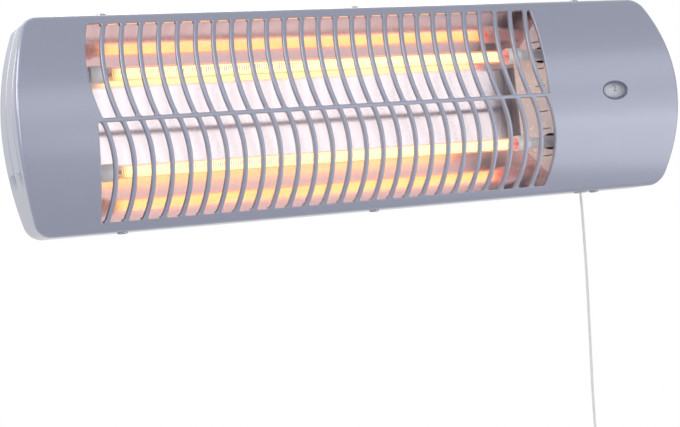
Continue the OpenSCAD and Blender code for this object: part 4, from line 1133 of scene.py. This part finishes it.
# Insulated wires inside, along routes of X, depth and Z
wireSettings = {
    "radius": 1.2, "bend": 3.2,
    "routes": {
        "wire_upper": [(167.7, 24, 33.9), (189.5, 24, 33.9), (189.5, 24, 12)],
        "wire_lower": [(167.7, 24, -33.9), (170.9, 24, -33.9), (170.9, 41, -33.9), (189.5, 41, -33.9),
                       (189.5, 41, -30)],
        "wire_link": [(-238.7, 24, 33.9), (-241.9, 24, 33.9), (-241.9, 24, -33.9), (-238.7, 24, -33.9)],
        "wire_return": [(-240.65, 24, 0), (-236.5, 24, 0), (-236.5, 58, 0), (55.6, 58, 0)],
        "wire_neutral": [(64.4, 58, 0), (221, 58, 0)],
        "wire_live": [(221, 60, -10), (208, 60, -10), (208, 41, -10), (195, 41, -10)],
        "wire_earth": [(162.2, 62, 8), (221, 62, 8)],
    },
}


def makeWire(node, route, s):
    tree = NodeTree(camelName(node), finishes[slotOf[node]], {"radius": s["radius"], "bend": s["bend"]})
    line = tree.add("GeometryNodeMeshToCurve", {"Mesh": tree.given["Geometry"]})
    bend = {"Curve": line, "Radius": tree.given["bend"], "Limit Radius": True, "Count": 8}
    eased = tree.add("GeometryNodeFilletCurve", bend, mode="POLY")
    points = [(x, crest + t, z) for x, t, z in route]
    mesh = meshFrom(node, points, [], [(i, i + 1) for i in range(len(points) - 1)])
    addPiece(tree.run(tree.tube(eased, tree.given["radius"], 16), mesh), node)


for node, route in wireSettings["routes"].items():
    makeWire(node, route, wireSettings)
print("wires made")

# Pieces whose solids have the right shape: copies with merged vertices and softened edges. Radius in mm, for
# a node or for the left and right ones of a pair
softEdges = {
    "back_cover": 0.6, "swivel_bracket": 0.4, "wall_bracket": 0.4, "tube_bracket": 0.2,
    "switch_bracket": 0.2, "pull_switch": 0.5, "switch_lever": 0.3, "terminal_block": 0.4,
    "thermal_cutout": 0.25,
    "cable_grommet": 0.4, "pivot_bolt": 0.4, "friction_washer": 0.15, "steel_washer": 0.2,
    "wing_nut": 0.5,
}


def softenedPiece(node, radius, flat=0.5, sharp=40):
    bm = bmesh.new()
    bm.from_mesh(nodes[node].data)
    bmesh.ops.remove_doubles(bm, verts=bm.verts[:], dist=2e-6)
    bmesh.ops.dissolve_limit(bm, angle_limit=math.radians(flat), verts=bm.verts[:], edges=bm.edges[:])
    limit = math.radians(sharp)
    edges = [e for e in bm.edges if len(e.link_faces) == 2 and e.calc_face_angle(0) > limit]
    bmesh.ops.bevel(bm, geom=edges, offset=radius * mm, segments=2, profile=0.6, affect="EDGES")
    addPiece(finishMesh(bm, 30, inMetres=True), node)


for stem, radius in softEdges.items():
    for node in [stem] if stem in nodes else [stem + "_left", stem + "_right"]:
        softenedPiece(node, radius)
print("edges softened")

# What still shows of the solids takes its slot's finish
for node, slot in slotOf.items():
    nodes[node].data.materials.clear()
    nodes[node].data.materials.append(finishes[slot])
    if not nodes[node].hide_render:
        print("solid shown:", node)

# Light, floor and background. A lamp has its place, its width and height, its power and what it points at
lightSettings = {
    "front": ((0.95, -1.9, 0.2), (2.4, 0.26), 1.0, (0.2, -0.1, 0.2)),
    "upper": ((0.9, -1.9, 0.64), (2.4, 0.6), 4.6, (0.2, -0.1, 0)),
    "lower": ((1.3, -1.9, -0.2), (2.4, 0.5), 3.4, (0.2, -0.1, 0)),
    "low": ((1.3, -1.1, -0.6), (1.8, 0.8), 6.6, (0.2, -0.1, -0.03)),
    "left": ((-1.3, -1.3, 0.3), (0.5, 0.8), 6, (0, -0.1, 0)),
    "side": ((-1.7, -0.5, 1.0), (0.9, 1.2), 19, (-0.2, -0.1, 0)),
    "rim": ((-0.6, 0.6, 1.4), (1.0, 1.0), 4, (-0.1, -0.1, 0)),
    "back": ((0.6, 1.8, 1.0), (1.4, 1.0), 14, (0, -0.05, 0)),
}
worldSettings = {"ambient": (0.33, 0.34, 0.37, 1)}
floorSettings = {"height": -1.0, "radius": 2.2, "color": "#F4F4F5", "white": 0.85}


def addLight(name, place, size, watts, aim):
    data = bpy.data.lights.new(name, "AREA")
    data.shape = "RECTANGLE"
    data.size, data.size_y = size
    data.energy = watts
    light = newObject(name, data)
    light.location = place
    light.rotation_euler = (Vector(aim) - Vector(place)).to_track_quat("-Z", "Y").to_euler()


for name, lamp in lightSettings.items():
    addLight(name, *lamp)


# 1 for the named kinds of ray, and 0 for the others
def metBy(tree, first, *others):
    path = addNode(tree, "ShaderNodeLightPath").outputs
    met = path[first]
    for ray in others:
        met = addMath(tree, "MAXIMUM", met, path[ray])
    return met


def makeWorld(ambient):
    world = bpy.data.worlds.new("studio")
    bpy.context.scene.world = world
    world.use_nodes = True
    tree = world.node_tree
    white = metBy(tree, "Is Camera Ray", "Is Glossy Ray", "Is Transmission Ray")
    feed(tree, tree.nodes["Background"], {"Color": addMix(tree, white, ambient, (1, 1, 1, 1))})


makeWorld(worldSettings["ambient"])


# A pale floor. Its white reaches the camera and what mirrors it, over a diffuse share with the shadow
def floorFinish(s):
    material = makeFinish("paleFloor", s["color"], 0.8, mottle=0.01, grain=0.1, grainScale=300)
    tree = material.node_tree
    share = addRange(tree, metBy(tree, "Is Camera Ray", "Is Glossy Ray"), 0, s["white"], 0, 1)
    glow = addNode(tree, "ShaderNodeEmission", {"Strength": 1.0}).outputs[0]
    plain = tree.nodes["Principled BSDF"].outputs[0]
    blend = addNode(tree, "ShaderNodeMixShader", {0: share, 1: plain, 2: glow}).outputs[0]
    feed(tree, tree.nodes["Material Output"], {"Surface": blend})
    return material


def makeFloor(s):
    bm = bmesh.new()
    bmesh.ops.create_circle(bm, cap_ends=True, radius=s["radius"], segments=96,
                            matrix=Matrix.Translation((0, -0.1, s["height"])))
    floor = newObject("floor", closedMesh(bm, "floor"))
    floor.data.materials.append(floorFinish(s))


makeFloor(floorSettings)
bpy.context.scene.view_settings.view_transform = "Standard"
print("light and floor made")
